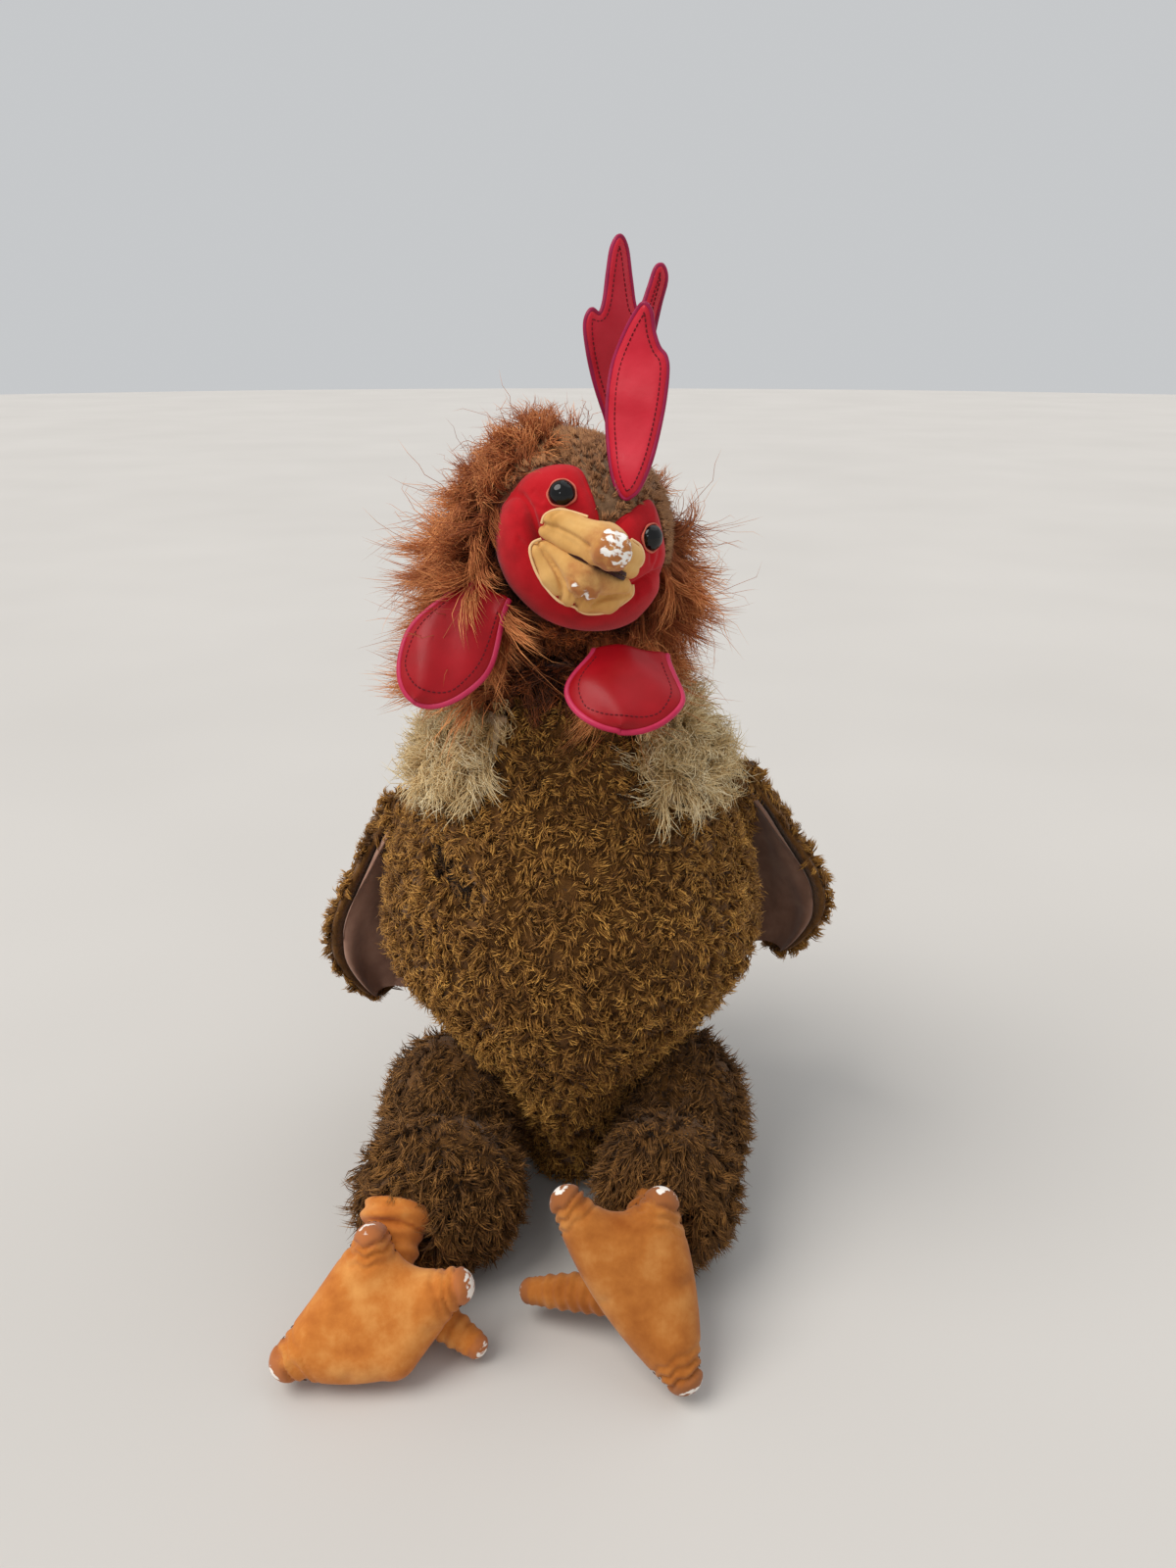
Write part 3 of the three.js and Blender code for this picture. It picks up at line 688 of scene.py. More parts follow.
# ---------------------------------------------------------------- camera, light and floor
CAMERA_AT = (0.008, -0.528, 0.405)
CAMERA_TILT = math.radians(69)
SENSOR, LENS = 36, 27.05  # millimetres
FLOOR_RADIUS = 9000
FLOOR_SIDES = 96
FLOOR_DROP = 0.2  # below the ground, so that it never meets the feet
SUNS = (  # name, direction, softness in degrees, strength, colour
    ("key", (-0.85, -0.35, 1.35), 40, 2.1, (1, 0.97, 0.93)),
    ("fill", (0.4, 0.3, 1.0), 60, 0.4, (0.92, 0.96, 1)),
    ("window", (-0.30, -0.90, 0.42), 4, 0.12, (0.95, 0.98, 1)),
)


def make_stage():
    scene = bpy.context.scene
    scene.view_settings.view_transform = "Standard"
    camera = bpy.data.objects.new("camera", bpy.data.cameras.new("camera"))
    camera.location = CAMERA_AT
    camera.rotation_euler = (CAMERA_TILT, 0, 0)
    camera.data.sensor_width = SENSOR
    camera.data.lens = LENS
    scene.collection.objects.link(camera)
    scene.camera = camera

    world = bpy.data.worlds.new("studio")
    world.use_nodes = True
    background = world.node_tree.nodes["Background"]
    background.inputs["Color"].default_value = (*linear(203, 205, 207), 1)
    background.inputs["Strength"].default_value = 0.95
    scene.world = world

    for name, place, softness, power, colour in SUNS:
        light = bpy.data.lights.new(name, "SUN")
        light.angle = math.radians(softness)
        light.energy = power
        light.color = colour
        lamp = bpy.data.objects.new(name, light)
        lamp.location = place
        lamp.rotation_euler = (-Vector(place)).to_track_quat("-Z", "Y").to_euler()
        scene.collection.objects.link(lamp)

    k = np.arange(FLOOR_SIDES)
    angle = k * 2 * math.pi / FLOOR_SIDES
    edge = np.stack([np.cos(angle), np.sin(angle), 0 * angle], 1) * FLOOR_RADIUS
    points = np.concatenate([[[0, 0, 0]], edge]) - vec(0, 0, FLOOR_DROP)
    fan = np.stack([0 * k, 1 + k, 1 + (k + 1) % FLOOR_SIDES], 1)
    m, _ = blank_material("floor_card", 0.75, specular=0.2)
    n = Nodes(m)
    n.colour(n.ramp(n.noise(0.002, 2), (0.3, linear(196, 192, 187)), (0.7, linear(201, 197, 192))))
    make_object("floor", points, fan, [m], shade_smooth=False)


make_stage()

# ---------------------------------------------------------------- the materials
# the plush backing is darker than the fibres: partly the knit's own colour and partly painted shade in the
# gaps between fibres
backing = backing_cloth("plush_backing", (84, 54, 22), (118, 78, 34))
crown_backing = backing_cloth("crown_backing", (100, 74, 52), (140, 108, 78))
russet_backing = backing_cloth("russet_backing", (80, 34, 16), (130, 66, 34))
cream_backing = backing_cloth("cream_backing", (160, 132, 98), (206, 180, 142))
BROWN = palette("brown_fibre", (86, 52, 16), (220, 164, 80), "brown_plush")
# near-black fibres for the belly's crease: painted shade deep in it
CREASE_SHADE = palette("crease_shade_fibre", (22, 12, 4), (96, 62, 26), "brown_plush")
LEG = palette("leg_fibre", (58, 35, 12), (164, 114, 56), "brown_plush")
MANE = palette("mane_fibre", (122, 56, 24), (250, 172, 106), "russet_fur")
THROAT = palette("throat_fibre", (44, 20, 10), (196, 108, 50), "russet_fur")
CROWN = palette("crown_fibre", (98, 62, 38), (200, 146, 98), "crown_plush")
CREAM = palette("cream_fibre", (196, 158, 100), (255, 240, 202), "cream_fur")

red_velour = velour("red_velour", (150, 14, 22), (184, 20, 30), (198, 36, 44))
beak_velour = velour(
    "tan_velour", (196, 140, 72), (216, 166, 98), (232, 192, 126), (247, 243, 236), (176, 112, 64)
)
FOOT_VELOUR = {
    "left": velour(
        "orange_velour", (166, 88, 32), (198, 120, 52), (226, 162, 90), (246, 238, 228), (176, 106, 60)
    ),
    # the right foot's copy is darker all over: painted shade, as that foot faces away from the light; its
    # worn toe ends are real wear, as on the left
    "right": velour(
        "orange_velour_shaded", (142, 76, 26), (172, 104, 44), (200, 140, 76), (246, 238, 228), (152, 92, 50)
    ),
}
edge_velour = velour("beak_edge", (224, 180, 126), (236, 196, 142), (246, 212, 164))
red_satin = satin("red_satin", (146, 8, 18), (168, 16, 28))
comb_satin = satin("comb_satin", (186, 20, 40), (206, 40, 58))
piping = satin("satin_piping", (176, 24, 64), (204, 58, 96), 0.4)
comb_edge = satin("comb_edge", (130, 18, 56), (176, 36, 84))
stitch_red = plain("stitch_dark_red", linear(96, 8, 22), 0.7)
stitch_brown = plain("stitch_brown", linear(92, 52, 22), 0.8)
rim_cloth = velour("eye_rim_cloth", (188, 88, 70), (206, 104, 84), (220, 124, 100))
SUEDE = {
    "left": velour("suede_lining", (128, 94, 80), (158, 120, 102), (180, 142, 122)),
    # the right lining is a darker copy: painted shade, as the body shades that wing
    "right": velour("suede_lining_shaded", (100, 72, 58), (124, 92, 76), (144, 112, 94)),
}
eye_black = plastic("eye_plastic", 0.05, 0.35, 0.3, (3, 3, 4), (10, 8, 8))
mouth_lining = velour("mouth_board", (36, 14, 12), (52, 22, 18), (70, 32, 26))
glove_cloth = velour("lining_cloth", (52, 38, 26), (74, 54, 38), (92, 70, 50))
washer_plastic = plastic("washer_plastic", 0.4, 0.3, 0.2, (208, 208, 200), (226, 226, 220))
for node, material in (
    ("glove_lining", glove_cloth),
    ("hem_binding", glove_cloth),
    ("upper_mouth_plate", mouth_lining),
    ("lower_mouth_plate", mouth_lining),
    ("eye_washer_left", washer_plastic),
    ("eye_washer_right", washer_plastic),
):
    mesh = frame["nodes"][node].data
    mesh.materials.clear()
    mesh.materials.append(material)


def dress(obj, body, nodes=(), blend=None):
    """Says what a piece rides on and stands for: attaches it to its body, or bakes its place in when blend is
    given, and hides the CAD nodes it stands for.
    """
    if blend:
        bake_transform(obj)
    else:
        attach(obj, body)
    if nodes:
        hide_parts(*nodes)


# ---------------------------------------------------------------- torso
BELLY_CENTRE = vec(0, -2, 130)
MANTLE_CENTRE = vec(0, -5, 215)
DIMPLE = (vec(-60, -58, 188), vec(-46, -72, 176))  # a pulled crease high on the left of the belly
DIMPLE_FLOOR = tuple(q + vec(6, 8, -1) for q in DIMPLE)


def torso():
    skin = soft_skin("torso_skin", ["belly_plush", "back_plush"], 2.6, 14, backing)
    p, n = points_of(skin), normals_of(skin)
    lumps = ripple_noise(p, 46, 3, 2) * 1.3
    pulled = cone(p, *DIMPLE, 1, 1)
    lumps -= 12.0 * np.exp(-((pulled / 5) ** 2)) - 3.4 * np.exp(-(((pulled - 14) / 6) ** 2))
    outer = ((p - BELLY_CENTRE) * n).sum(1) > 0
    set_points(skin, p + n * (lumps * outer)[:, None])
    dress(skin, "torso", ["belly_plush", "back_plush", "belly_wadding", "back_wadding"])

    def creased_in(p, n=None):
        return np.exp(-((cone(p, *DIMPLE_FLOOR, 1, 1) / 5.5) ** 4))

    def outside(p, n):
        facing = ((p - BELLY_CENTRE) * n).sum(1) > 12
        return facing * np.where(p[:, 2] < 6, 0.25, 1.0) * (1 - 0.8 * creased_in(p))

    fur("torso_pile", "torso", skin, BROWN, count=89_000, length=8.2, radius=0.32, seed=11,
        where=outside, lean=lambda p, n: vec(0, 0, -0.25), clump=2.9, rise=0.95, curl=2.8, tight=0.3,
        frizz=0.55, scatter=0.65, patches=26, reach=lambda p, n: 1 - 0.4 * creased_in(p))
    # dark fibres in the crease, where the main pile is thinned and shortened: painted shade, darker than the
    # crease's own occlusion
    fur("torso_crease_shade", "torso", skin, CREASE_SHADE, count=1_200, length=5.5, radius=0.32, seed=14,
        where=creased_in, clump=2.6, rise=0.9, curl=2.0, tight=0.3, frizz=0.5, patches=14)


def tail():
    nodes = ["tail_front_plush", "tail_wadding", "tail_back_plush"]
    skin = soft_skin("tail_skin", nodes, 2.4, 8, backing)
    dress(skin, "torso", nodes)
    fur("tail_pile", "torso", skin, BROWN, count=9_000, length=8.5, radius=0.28, seed=12,
        lean=lambda p, n: vec(0, 0.2, 0.3), clump=3.6, curl=2.8, patches=22)


def mantle():
    skin = soft_skin("mantle_skin", ["shoulder_mantle"], 2.4, 8, cream_backing)
    dress(skin, "torso", ["shoulder_mantle"])
    fur("mantle_locks", "torso", skin, CREAM, count=17_000, length=18, radius=0.21, seed=13,
        where=lambda p, n: (((p - MANTLE_CENTRE) * n).sum(1) > 8) * 1.0,
        lean=lambda p, n: unit(p * LEVEL) * 0.45 + vec(0, 0, -0.6), clump=4.4, rise=0.75, curl=2.8,
        tight=0.25, frizz=1.5, scatter=0.7, pull=(0, 0, -0.2), segments=4, patches=20)


# ---------------------------------------------------------------- legs
def leg(name, side):
    nodes = [f"leg_{name}_plush", f"leg_{name}_wadding"]
    skin = soft_skin(f"leg_{name}_skin", nodes[:1], 2.4, 10, backing)
    dress(skin, f"leg_{name}", nodes)
    hip, ankle = joint_point(f"hip_{name}"), joint_point(f"ankle_{name}")
    low = ankle * LEVEL + vec(0, 0, 40)
    high = hip * LEVEL + vec(0, 10, 42)

    def near_ankle(p):
        return smooth((34 - np.linalg.norm(p - ankle, axis=1)) / 14)

    def thick(p, n):
        along = np.clip(((p - high) @ (low - high)) / ((low - high) @ (low - high)), 0, 1)
        away = unit(p - high - along[:, None] * (low - high))
        outside = ((away * n).sum(1) > 0.05) * np.where(p[:, 2] < 4, 0.3, 1.0)
        return outside * (1 + 2 * near_ankle(p))

    def combed(p, n):
        over = unit(ankle + vec(0, -16, -8) - p) * near_ankle(p)[:, None] * (0.9 if name == "left" else 1.3)
        return unit(low - high) * 0.3 + vec(0, 0, -0.6) + over

    fur(f"leg_{name}_pile", f"leg_{name}", skin, LEG, count=19_000, length=9.5, radius=0.29,
        seed=21 + side, where=thick, lean=combed, clump=2.8, curl=1.7, tight=0.3, frizz=0.55,
        scatter=0.45, patches=22, reach=lambda p, n: 1 + near_ankle(p) * 0.9)


# ---------------------------------------------------------------- wings
# Cupped teardrops, as the CAD: plush outside and behind, and suede towards the body and the front.
WINGS = {
    "left": {"side": -1, "root": 95, "top": 180, "length": 112, "spread": 15, "half": 26},
    "right": {"side": 1, "root": 92, "top": 198, "length": 102, "spread": 22, "half": 27},
}
WING_Y = 32
SLANT = 0.7  # the wings' plane is turned 45 degrees


def wing_points(spec, u, v, depth):
    """Points of a wing, u across it, v down it and depth through its layers."""
    across = 2 * u - 1
    width = mix(0.2, 1, smooth(v * 1.6)) * np.sqrt(np.clip(1 - (np.maximum(0, v - 0.5) / 0.5) ** 2, 0, 1))
    width = width * spec["half"]
    middle = spec["root"] - 6 * smooth(1 - 4 * v) + spec["spread"] * smooth(v * 1.3)
    middle = middle - 5 * smooth((v - 0.7) / 0.3)
    cup = 7 * across ** 2 + depth
    x = middle - across * width * SLANT - cup * SLANT
    y = WING_Y + across * width * SLANT - cup * SLANT
    z = spec["top"] - spec["length"] * v + 6 * across ** 2 * (1 - v)
    return np.stack([spec["side"] * x, y, z], 1)


def wing_layer(spec, low, high, inset, folds):
    """The shape of one layer of a wing, between two depths."""
    def shape(u, v, w):
        v = 1 - (1 - v) ** 1.6
        edge = np.sqrt(np.clip(1 - np.abs(2 * u - 1) ** 8, 0.02, 1) * np.clip(1 - v ** 14, 0.02, 1))
        depth = (low + high) / 2 + w * (high - low) / 2 * edge
        crease = np.sin(v * 9 + u * 4 + 1.7 * np.sin(u * 7)) * smooth(v * 2) * folds
        depth = depth + crease * (w > 0)
        return wing_points(spec, 1 - (1 - u) * inset, v * (1 - (1 - inset) * 0.5), depth)
    return shape


def wing(name, side):
    body, spec = f"wing_{name}", WINGS[name]
    back = unit(vec(side, 1, 0))
    skin = slab(f"wing_{name}_skin", 40, 70, wing_layer(spec, -8.6, -0.6, 1.0, 0), backing)
    dress(skin, body, [f"wing_{name}_plush", f"wing_{name}_wadding"])
    lining = slab(f"wing_{name}_suede", 60, 90, wing_layer(spec, 0.6, 5.2, 0.93, 1.6), SUEDE[name])
    dress(lining, body, [f"wing_{name}_lining"])
    fur(f"wing_{name}_pile", body, skin, BROWN, count=9_000, length=7.5, radius=0.29,
        seed=33 + side, where=lambda p, n: (n @ back > -0.5) * 1.0,
        lean=lambda p, n: back * 0.25 + vec(0, 0, -0.45), clump=3.6, curl=2.6, scatter=0.5, patches=24)

    # the plush gathered into the seam between the wing and the body
    middle = vec(side * (spec["root"] - 13), 27, spec["top"] - 19)
    gather, _ = implicit(
        f"wing_{name}_seam", lambda p: ellipsoid(p, middle, vec(12, 13, 27)), middle - 31, middle + 31,
        1.8, backing,
    )
    dress(gather, "torso")
    fur(f"wing_{name}_seam_pile", "torso", gather, BROWN, count=1_300, length=7.5, radius=0.29,
        seed=53 + side, where=lambda p, n: (n[:, 0] * side > -0.3) * 1.0,
        lean=lambda p, n: vec(side * 0.4, 0, -0.6), clump=3.2, curl=2.6, scatter=0.5, patches=8)


# ---------------------------------------------------------------- feet
# As the CAD: round toes joined by webs in the sole's plane, clockwise from the first, then the hind toe.
FOOT_LEAN = math.radians(35)
TOE_ARC, SIDE_TOE_ARC = 80, 40  # half of the arc round a long toe and round a short one, in degrees
FEET = {
    "left": {
        "centre": (-80, -151, 30),
        "toes": [(-2, 25, 8), (33, 7, 8), (8, -18, 11), (-34, -21, 8)],
        "tips": [0, 1, 3],
        "lifts": [6, 3, 0],
        "webs": [(10, 10), (27, -10), (-10, -31), (-26, 2)],
        "hind": ((-62, -138, 16), (-40, -150, 8)),
    },
    "right": {
        "centre": (26, -148, 40),
        "toes": [(-26, 30, 8), (12, 29, 8), (20, -35, 8)],
        "tips": [0, 1, 2],
        "lifts": [2, 2, 1],
        "webs": [(-7, 20), (28, 0), (-18, -12)],
        "hind": ((10, -134, 20), (-16, -128, 15)),
    },
}
FOOT_HALF = 10.0
FOOT_ROUND = 11.0


def foot_outline(toes, webs, tips):
    """The sole: an arc round each toe, and a curved web to the next one."""
    def arc(i):
        return TOE_ARC if i in tips else SIDE_TOE_ARC

    points = []
    for i, (x, y, r) in enumerate(toes):
        facing = math.atan2(y, x)
        for a in np.radians(np.linspace(1, -1, 7) * arc(i)):
            points.append((x + r * math.cos(facing + a), y + r * math.sin(facing + a)))
        following = (i + 1) % len(toes)
        nx, ny, nr = toes[following]
        a = math.atan2(ny, nx) + math.radians(arc(following))
        end = (nx + nr * math.cos(a), ny + nr * math.sin(a))
        start, t = np.array(points[-1]), np.linspace(0, 1, 10)[1:-1, None]
        web = start * (1 - t) ** 2 + 2 * np.array(webs[i]) * t * (1 - t) + np.array(end) * t * t
        points += [tuple(q) for q in web]
    return np.array(points)


def depth_inside(p, outline):
    """How far inside a closed outline 2-D points are; negative outside."""
    a, b = outline, np.roll(outline, -1, 0)
    nearest = np.full(len(p), 1e9)
    crossings = np.zeros(len(p), int)
    for (ax, ay), (bx, by) in zip(a, b):
        e = np.array([bx - ax, by - ay])
        w = p - (ax, ay)
        t = np.clip((w @ e) / (e @ e), 0, 1)
        nearest = np.minimum(nearest, np.linalg.norm(w - t[:, None] * e, axis=1))
        spans = (ay > p[:, 1]) != (by > p[:, 1])
        if by != ay:
            crossings += spans & (p[:, 0] < (bx - ax) * (p[:, 1] - ay) / (by - ay) + ax)
    return np.where(crossings % 2 == 1, nearest, -nearest)


def foot_place(centre, p):
    c, s = math.cos(FOOT_LEAN), math.sin(FOOT_LEAN)
    return np.stack([p[:, 0], p[:, 1] * s - p[:, 2] * c, p[:, 1] * c + p[:, 2] * s], 1) + centre


def worn_ends(obj, p, ends):
    """Marks toe ends: ends are (centre, outward direction, radius)."""
    wear, grime = np.zeros(len(p)), np.zeros(len(p))
    for centre, way, r in ends:
        near = np.linalg.norm(p - centre, axis=1) < 2.2 * r
        s = (p - centre) @ way / r
        wear = np.maximum(wear, near * smooth((s - 0.15) / 0.7))
        grime = np.maximum(grime, near * smooth((s + 0.35) / 0.9))
    attribute(obj, "wear", wear)
    attribute(obj, "grime", grime)


def puckers(p, ends, depth):
    """Rings of gathered cloth just behind each toe end."""
    total = np.zeros(len(p))
    for centre, way, r in ends:
        w = p - centre
        s = w @ way
        near = smooth(1.9 - np.linalg.norm(w, axis=1) / (1.3 * r))
        wobble = 0.8 * np.sin(w[:, 0] * 0.7 + w[:, 2] * 0.4)
        for at, size in ((0.15, 1.0), (-0.35, 0.8), (-0.85, 0.55)):
            total += near * size * np.exp(-(((s + wobble - at * r) / 1.0) ** 2))
    return -depth * total


def foot_pad(name, side):
    """The stuffed sole and upper, with its toes and the stitches round its edge."""
    spec = FEET[name]
    centre = np.array(spec["centre"], float)
    outline = foot_outline(spec["toes"], spec["webs"], spec["tips"])
    long_toes = [(*spec["toes"][i], lift) for i, lift in zip(spec["tips"], spec["lifts"])]
    ends = [(vec(x, y, lift), unit(vec(x * 0.5, y * 0.5, lift * 0.7)), r) for x, y, r, lift in long_toes]

    def field(p):
        d = depth_inside(p[:, :2], outline)
        half = FOOT_HALF * (0.94 + 0.16 * smooth(d / 26))
        f = np.hypot(np.maximum(FOOT_ROUND - d, 0), p[:, 2] * FOOT_ROUND / half) - FOOT_ROUND
        for x, y, r, lift in long_toes:
            f = joined(f, cone(p, (x * 0.5, y * 0.5, lift * 0.3), (x, y, lift), r, r - 0.8), 3)
        return f

    low = np.append(outline.min(0) - 3, -FOOT_HALF - 4)
    high = np.append(outline.max(0) + 3, FOOT_HALF + 8)
    foot = make_object(f"foot_{name}_pad", *surface_nets(field, low, high, 1.1), [FOOT_VELOUR[name]])
    foot.modifiers.new("relax", "SMOOTH").iterations = 4
    applied(foot)
    p, n = points_of(foot), normals_of(foot)
    lumps = ripple_noise(p, 30, 41 + side, 2) * 0.6 + puckers(p, ends, 1.9)
    web = np.zeros(len(p))
    for x, y in spec["webs"]:  # pulled creases run from each web into the foot
        start = vec(x, y, 6)
        web += np.exp(-((cone(p, start, start * vec(0.45, 0.45, 1), 0, 0) / 2.4) ** 2))
    lumps -= 0.9 * web * (p[:, 2] > 0)
    p = p + n * lumps[:, None]
    worn_ends(foot, p, ends)
    set_points(foot, foot_place(centre, p))
    make_smooth(foot.data)
    nodes = [f"foot_{name}_{k}" for k in ("sole", "wadding", "upper")]
    dress(foot, f"foot_{name}", nodes)

    seam = outline * (1 - 0.6 / np.linalg.norm(outline, axis=1, keepdims=True))
    ring = curve_through(np.column_stack([seam, 0 * seam[:, 0]]), 260, ring=True)
    thread = foot_place(centre, ring)
    row = stitches(f"foot_{name}_stitches", thread, lambda q: q - centre, 1.5, 1.1, 0.32, stitch_brown)
    dress(row, f"foot_{name}")


def shank(name, side):
    """The narrow tube from the end of the leg to the back of the foot, and the leg's end inside it."""
    ankle = joint_point(f"ankle_{name}")
    join = foot_place(np.array(FEET[name]["centre"], float), vec(0, 0, -7)[None])[0]
    along = unit(join - ankle)

    def field(p):
        s = (p - ankle) @ along
        f = cone(p, ankle, join, 12.6 if name == "left" else 11.5, 11.5)
        if name == "left":  # its top is turned down in a cuff
            beyond = np.maximum(0, np.abs(s - 7.5) - 3.2)
            f = joined(f, np.hypot(cone(p, ankle, join, 13.4, 13.4), beyond) - 1.7, 0.8)
        return -joined(-f, s - 1.5, 1.5)

    low, high = np.minimum(ankle, join) - 19, np.maximum(ankle, join) + 19
    skin, own = implicit(f"foot_{name}_shank_skin", field, low, high, 1.3, FOOT_VELOUR[name])
    n = normals_of(skin)
    plug, _ = implicit(
        f"leg_{name}_end", lambda p: ellipsoid(p, ankle, vec(12, 12, 12)), ankle - 15, ankle + 15, 1.6,
        backing,
    )
    dress(plug, f"leg_{name}")
    fur(f"leg_{name}_end_pile", f"leg_{name}", plug, LEG, count=1_500, length=8.5, radius=0.27,
        seed=25 + side, where=lambda p, n: ((p - ankle) @ along < 2) * (n @ along < 0.3) * 1.0,
        lean=lambda p, n: along * 0.5, clump=3.4, curl=1.4, tight=0.45, patches=22)
    s = (own - ankle) @ along
    creases = np.sin(s * 0.9 + 1.4 * np.sin(own[:, 0] * 0.16 + side)) * smooth((s - 2) / 5) * 0.8
    set_points(skin, own + n * creases[:, None])
    attribute(skin, "wear", 0 * s)
    attribute(skin, "grime", 0 * s)
    dress(skin, f"foot_{name}", [f"foot_{name}_shank"])


def hind_toe(name):
    root, tip = (np.array(q, float) for q in FEET[name]["hind"])
    way = unit(tip - root)
    base = root - way * 8
    low, high = np.minimum(base, tip) - 12, np.maximum(base, tip) + 12
    toe, own = implicit(
        f"foot_{name}_hind_toe_skin", lambda p: cone(p, base, tip, 9.4, 6.0), low, high, 0.9,
        FOOT_VELOUR[name],
    )
    n = normals_of(toe)
    end = [(tip, way, 6.0)]
    s = (own - tip) @ way
    rings = -0.45 * np.cos(s * 1.15 + 0.7 * np.sin(own[:, 2] * 0.5)) * smooth((-s - 3) / 4)
    own = own + n * (rings + puckers(own, end, 0.6))[:, None]
    own[:, 2] = np.maximum(own[:, 2], 0.3)
    worn_ends(toe, own, end)
    set_points(toe, own)
    dress(toe, f"foot_{name}", [f"foot_{name}_hind_toe"])


def foot(name, side):
    foot_pad(name, side)
    shank(name, side)
    hind_toe(name)


# ---------------------------------------------------------------- comb and wattles
# The comb: a padded leaf in front and a taller fingered one behind, each drawn in x and z.
COMB_FRONT = [
    (21.5, 345.5), (18, 352), (16.2, 363), (15.6, 376), (17.2, 391), (21.5, 403), (26, 411.5), (29, 414.8),
    (31.6, 412), (32.8, 405), (34.8, 399.5), (37.4, 396), (38, 390), (36.3, 377), (32.5, 361), (28, 350),
    (24.5, 346),
]
COMB_REAR = [
    (19, 364), (14.5, 375), (10.5, 387), (8, 398), (7, 408), (9.3, 413), (12.5, 411.5), (14.5, 416),
    (16, 427), (17.6, 436), (20.5, 440), (23.2, 436), (25, 425), (27, 414), (30, 414.5), (33, 422),
    (35.6, 429), (38.4, 430), (40, 425), (37.5, 415), (34, 400), (31, 384), (27, 364),
]
COMB_HALF = 2.8
COMB_ROUND = 4.5
COMB_INSET = 2.6  # from the edge to the stitches
COMB_PIPING, WATTLE_PIPING = 1.05, 1.35  # radii


def comb_front_y(x, z):
    return -65 + 17 * smooth((z - 346) / 52) - 0.4 * (x - 26) + 0.8 * np.sin(z * 0.16)


def comb_rear_y(x, z):
    return -30 + 0.85 * (x - 8) + 1.2 * np.sin(z * 0.13 + x * 0.1)


def comb_leaf(name, points, depth, nodes=()):
    """A padded satin leaf with piping round its edge and stitches just inside it."""
    outline = curve_through(np.array(points, float), 220, ring=True)

    def field(p):
        d = depth_inside(p[:, [0, 2]], outline)
        return np.hypot(np.maximum(COMB_ROUND - d, 0), p[:, 1] * COMB_ROUND / COMB_HALF) - COMB_ROUND

    def place(p):
        return np.stack([p[:, 0], p[:, 1] + depth(p[:, 0], p[:, 2]), p[:, 2]], 1)

    (left, bottom), (right, top) = outline.min(0) - 2, outline.max(0) + 2
    leaf, own = implicit(
        f"comb_{name}_leaf", field, vec(left, -5, bottom), vec(right, 5, top), 0.8, comb_satin, place
    )
    lumps = ripple_noise(own, 13, 91, 2) * 0.25
    set_points(leaf, points_of(leaf) + normals_of(leaf) * lumps[:, None])
    dress(leaf, "comb", nodes)
    rim = place(np.column_stack([outline[:, 0], 0 * outline[:, 0], outline[:, 1]]))
    dress(tube(f"comb_{name}_piping", rim, COMB_PIPING, comb_edge, ring=True), "comb")
    inwards = unit(np.roll(outline, -1, 0) - np.roll(outline, 1, 0))[:, ::-1] * vec(1, -1)
    inner = outline + inwards * COMB_INSET
    inner = inner[depth_inside(inner, outline) > 2.0]
    seam = place(np.column_stack([inner[:, 0], 0 * inner[:, 0] - COMB_HALF + 0.1, inner[:, 1]]))
    row = stitches(f"comb_{name}_stitches", seam, lambda q: vec(0, -1, 0) + 0 * q, 1.4, 0.5, 0.25, stitch_red)
    dress(row, "comb")


WATTLES = {
    "left": {"top": (-31, -66, 310), "tip": (-59, -93, 273), "half": 18.5, "neck": 0.5},
    "right": {"top": (25, -70, 286), "tip": (20, -102, 265), "half": 23.5, "neck": 0.62},
}
WATTLE_THICK = 4.2
WATTLE_SEAM = 0.8  # of the way from the middle to the edge


def wattle(name, side):
    """A soft padded flap with piping round its edge and a row of stitches inside it."""
    spec = WATTLES[name]
    top, tip = vec(*spec["top"]), vec(*spec["tip"])
    along = tip - top
    across = unit(np.cross(np.cross(vec(1, 0, 0), along), along))
    out = unit(np.cross(across, along))
    if out[1] > 0:
        out = -out

    def sheet(edge, v):
        width = mix(spec["neck"], 1, smooth(v * 1.55) ** 0.8)
        width = spec["half"] * width * np.sqrt(np.clip(1 - (np.maximum(0, v - 0.42) / 0.58) ** 2, 0, 1))
        soft = 2.6 * (1 - edge ** 2) * np.sin(v * math.pi) - 3.0 * edge ** 2 * v
        soft += 0.9 * np.sin(edge * 3.2 + side) * smooth(1 - v) + 0.5 * np.sin(edge * 5 + v * 9)
        return top + along * v[:, None] + across * (edge * width)[:, None] + out * soft[:, None]

    def shape(u, v, w):
        edge, v = 2 * u - 1, 1 - (1 - v) ** 1.5
        thin = np.sqrt(np.clip(1 - edge ** 8, 0.05, 1)) * np.sqrt(np.clip(1 - v ** 12, 0.05, 1))
        return sheet(edge, v) + out * (w * WATTLE_THICK / 2 * thin)[:, None]

    flap = slab(f"wattle_{name}_flap", 44, 40, shape, red_satin)
    dress(flap, f"wattle_{name}", [f"wattle_{name}"])
    t = 1 - (1 - np.linspace(0, 1, 90)) ** 2
    rim = np.concatenate([sheet(0 * t - 1, t), sheet(0 * t + 1, t)[::-1][1:]])
    dress(tube(f"wattle_{name}_piping", rim, WATTLE_PIPING, piping), f"wattle_{name}")
    t = np.linspace(0.12, 0.78, 40)
    turn = np.linspace(0, math.pi, 30)[1:-1]
    end = sheet(-WATTLE_SEAM * np.cos(turn), 0.78 + 0.14 * np.sin(turn))
    inset = np.concatenate([sheet(0 * t - WATTLE_SEAM, t), end, sheet(0 * t + WATTLE_SEAM, t)[::-1]])
    lift = out * (WATTLE_THICK / 2 - 0.15)
    row = stitches(
        f"wattle_{name}_stitches", inset + lift, lambda q: out + 0 * q, 1.4, 0.6, 0.26, stitch_red
    )
    dress(row, f"wattle_{name}")


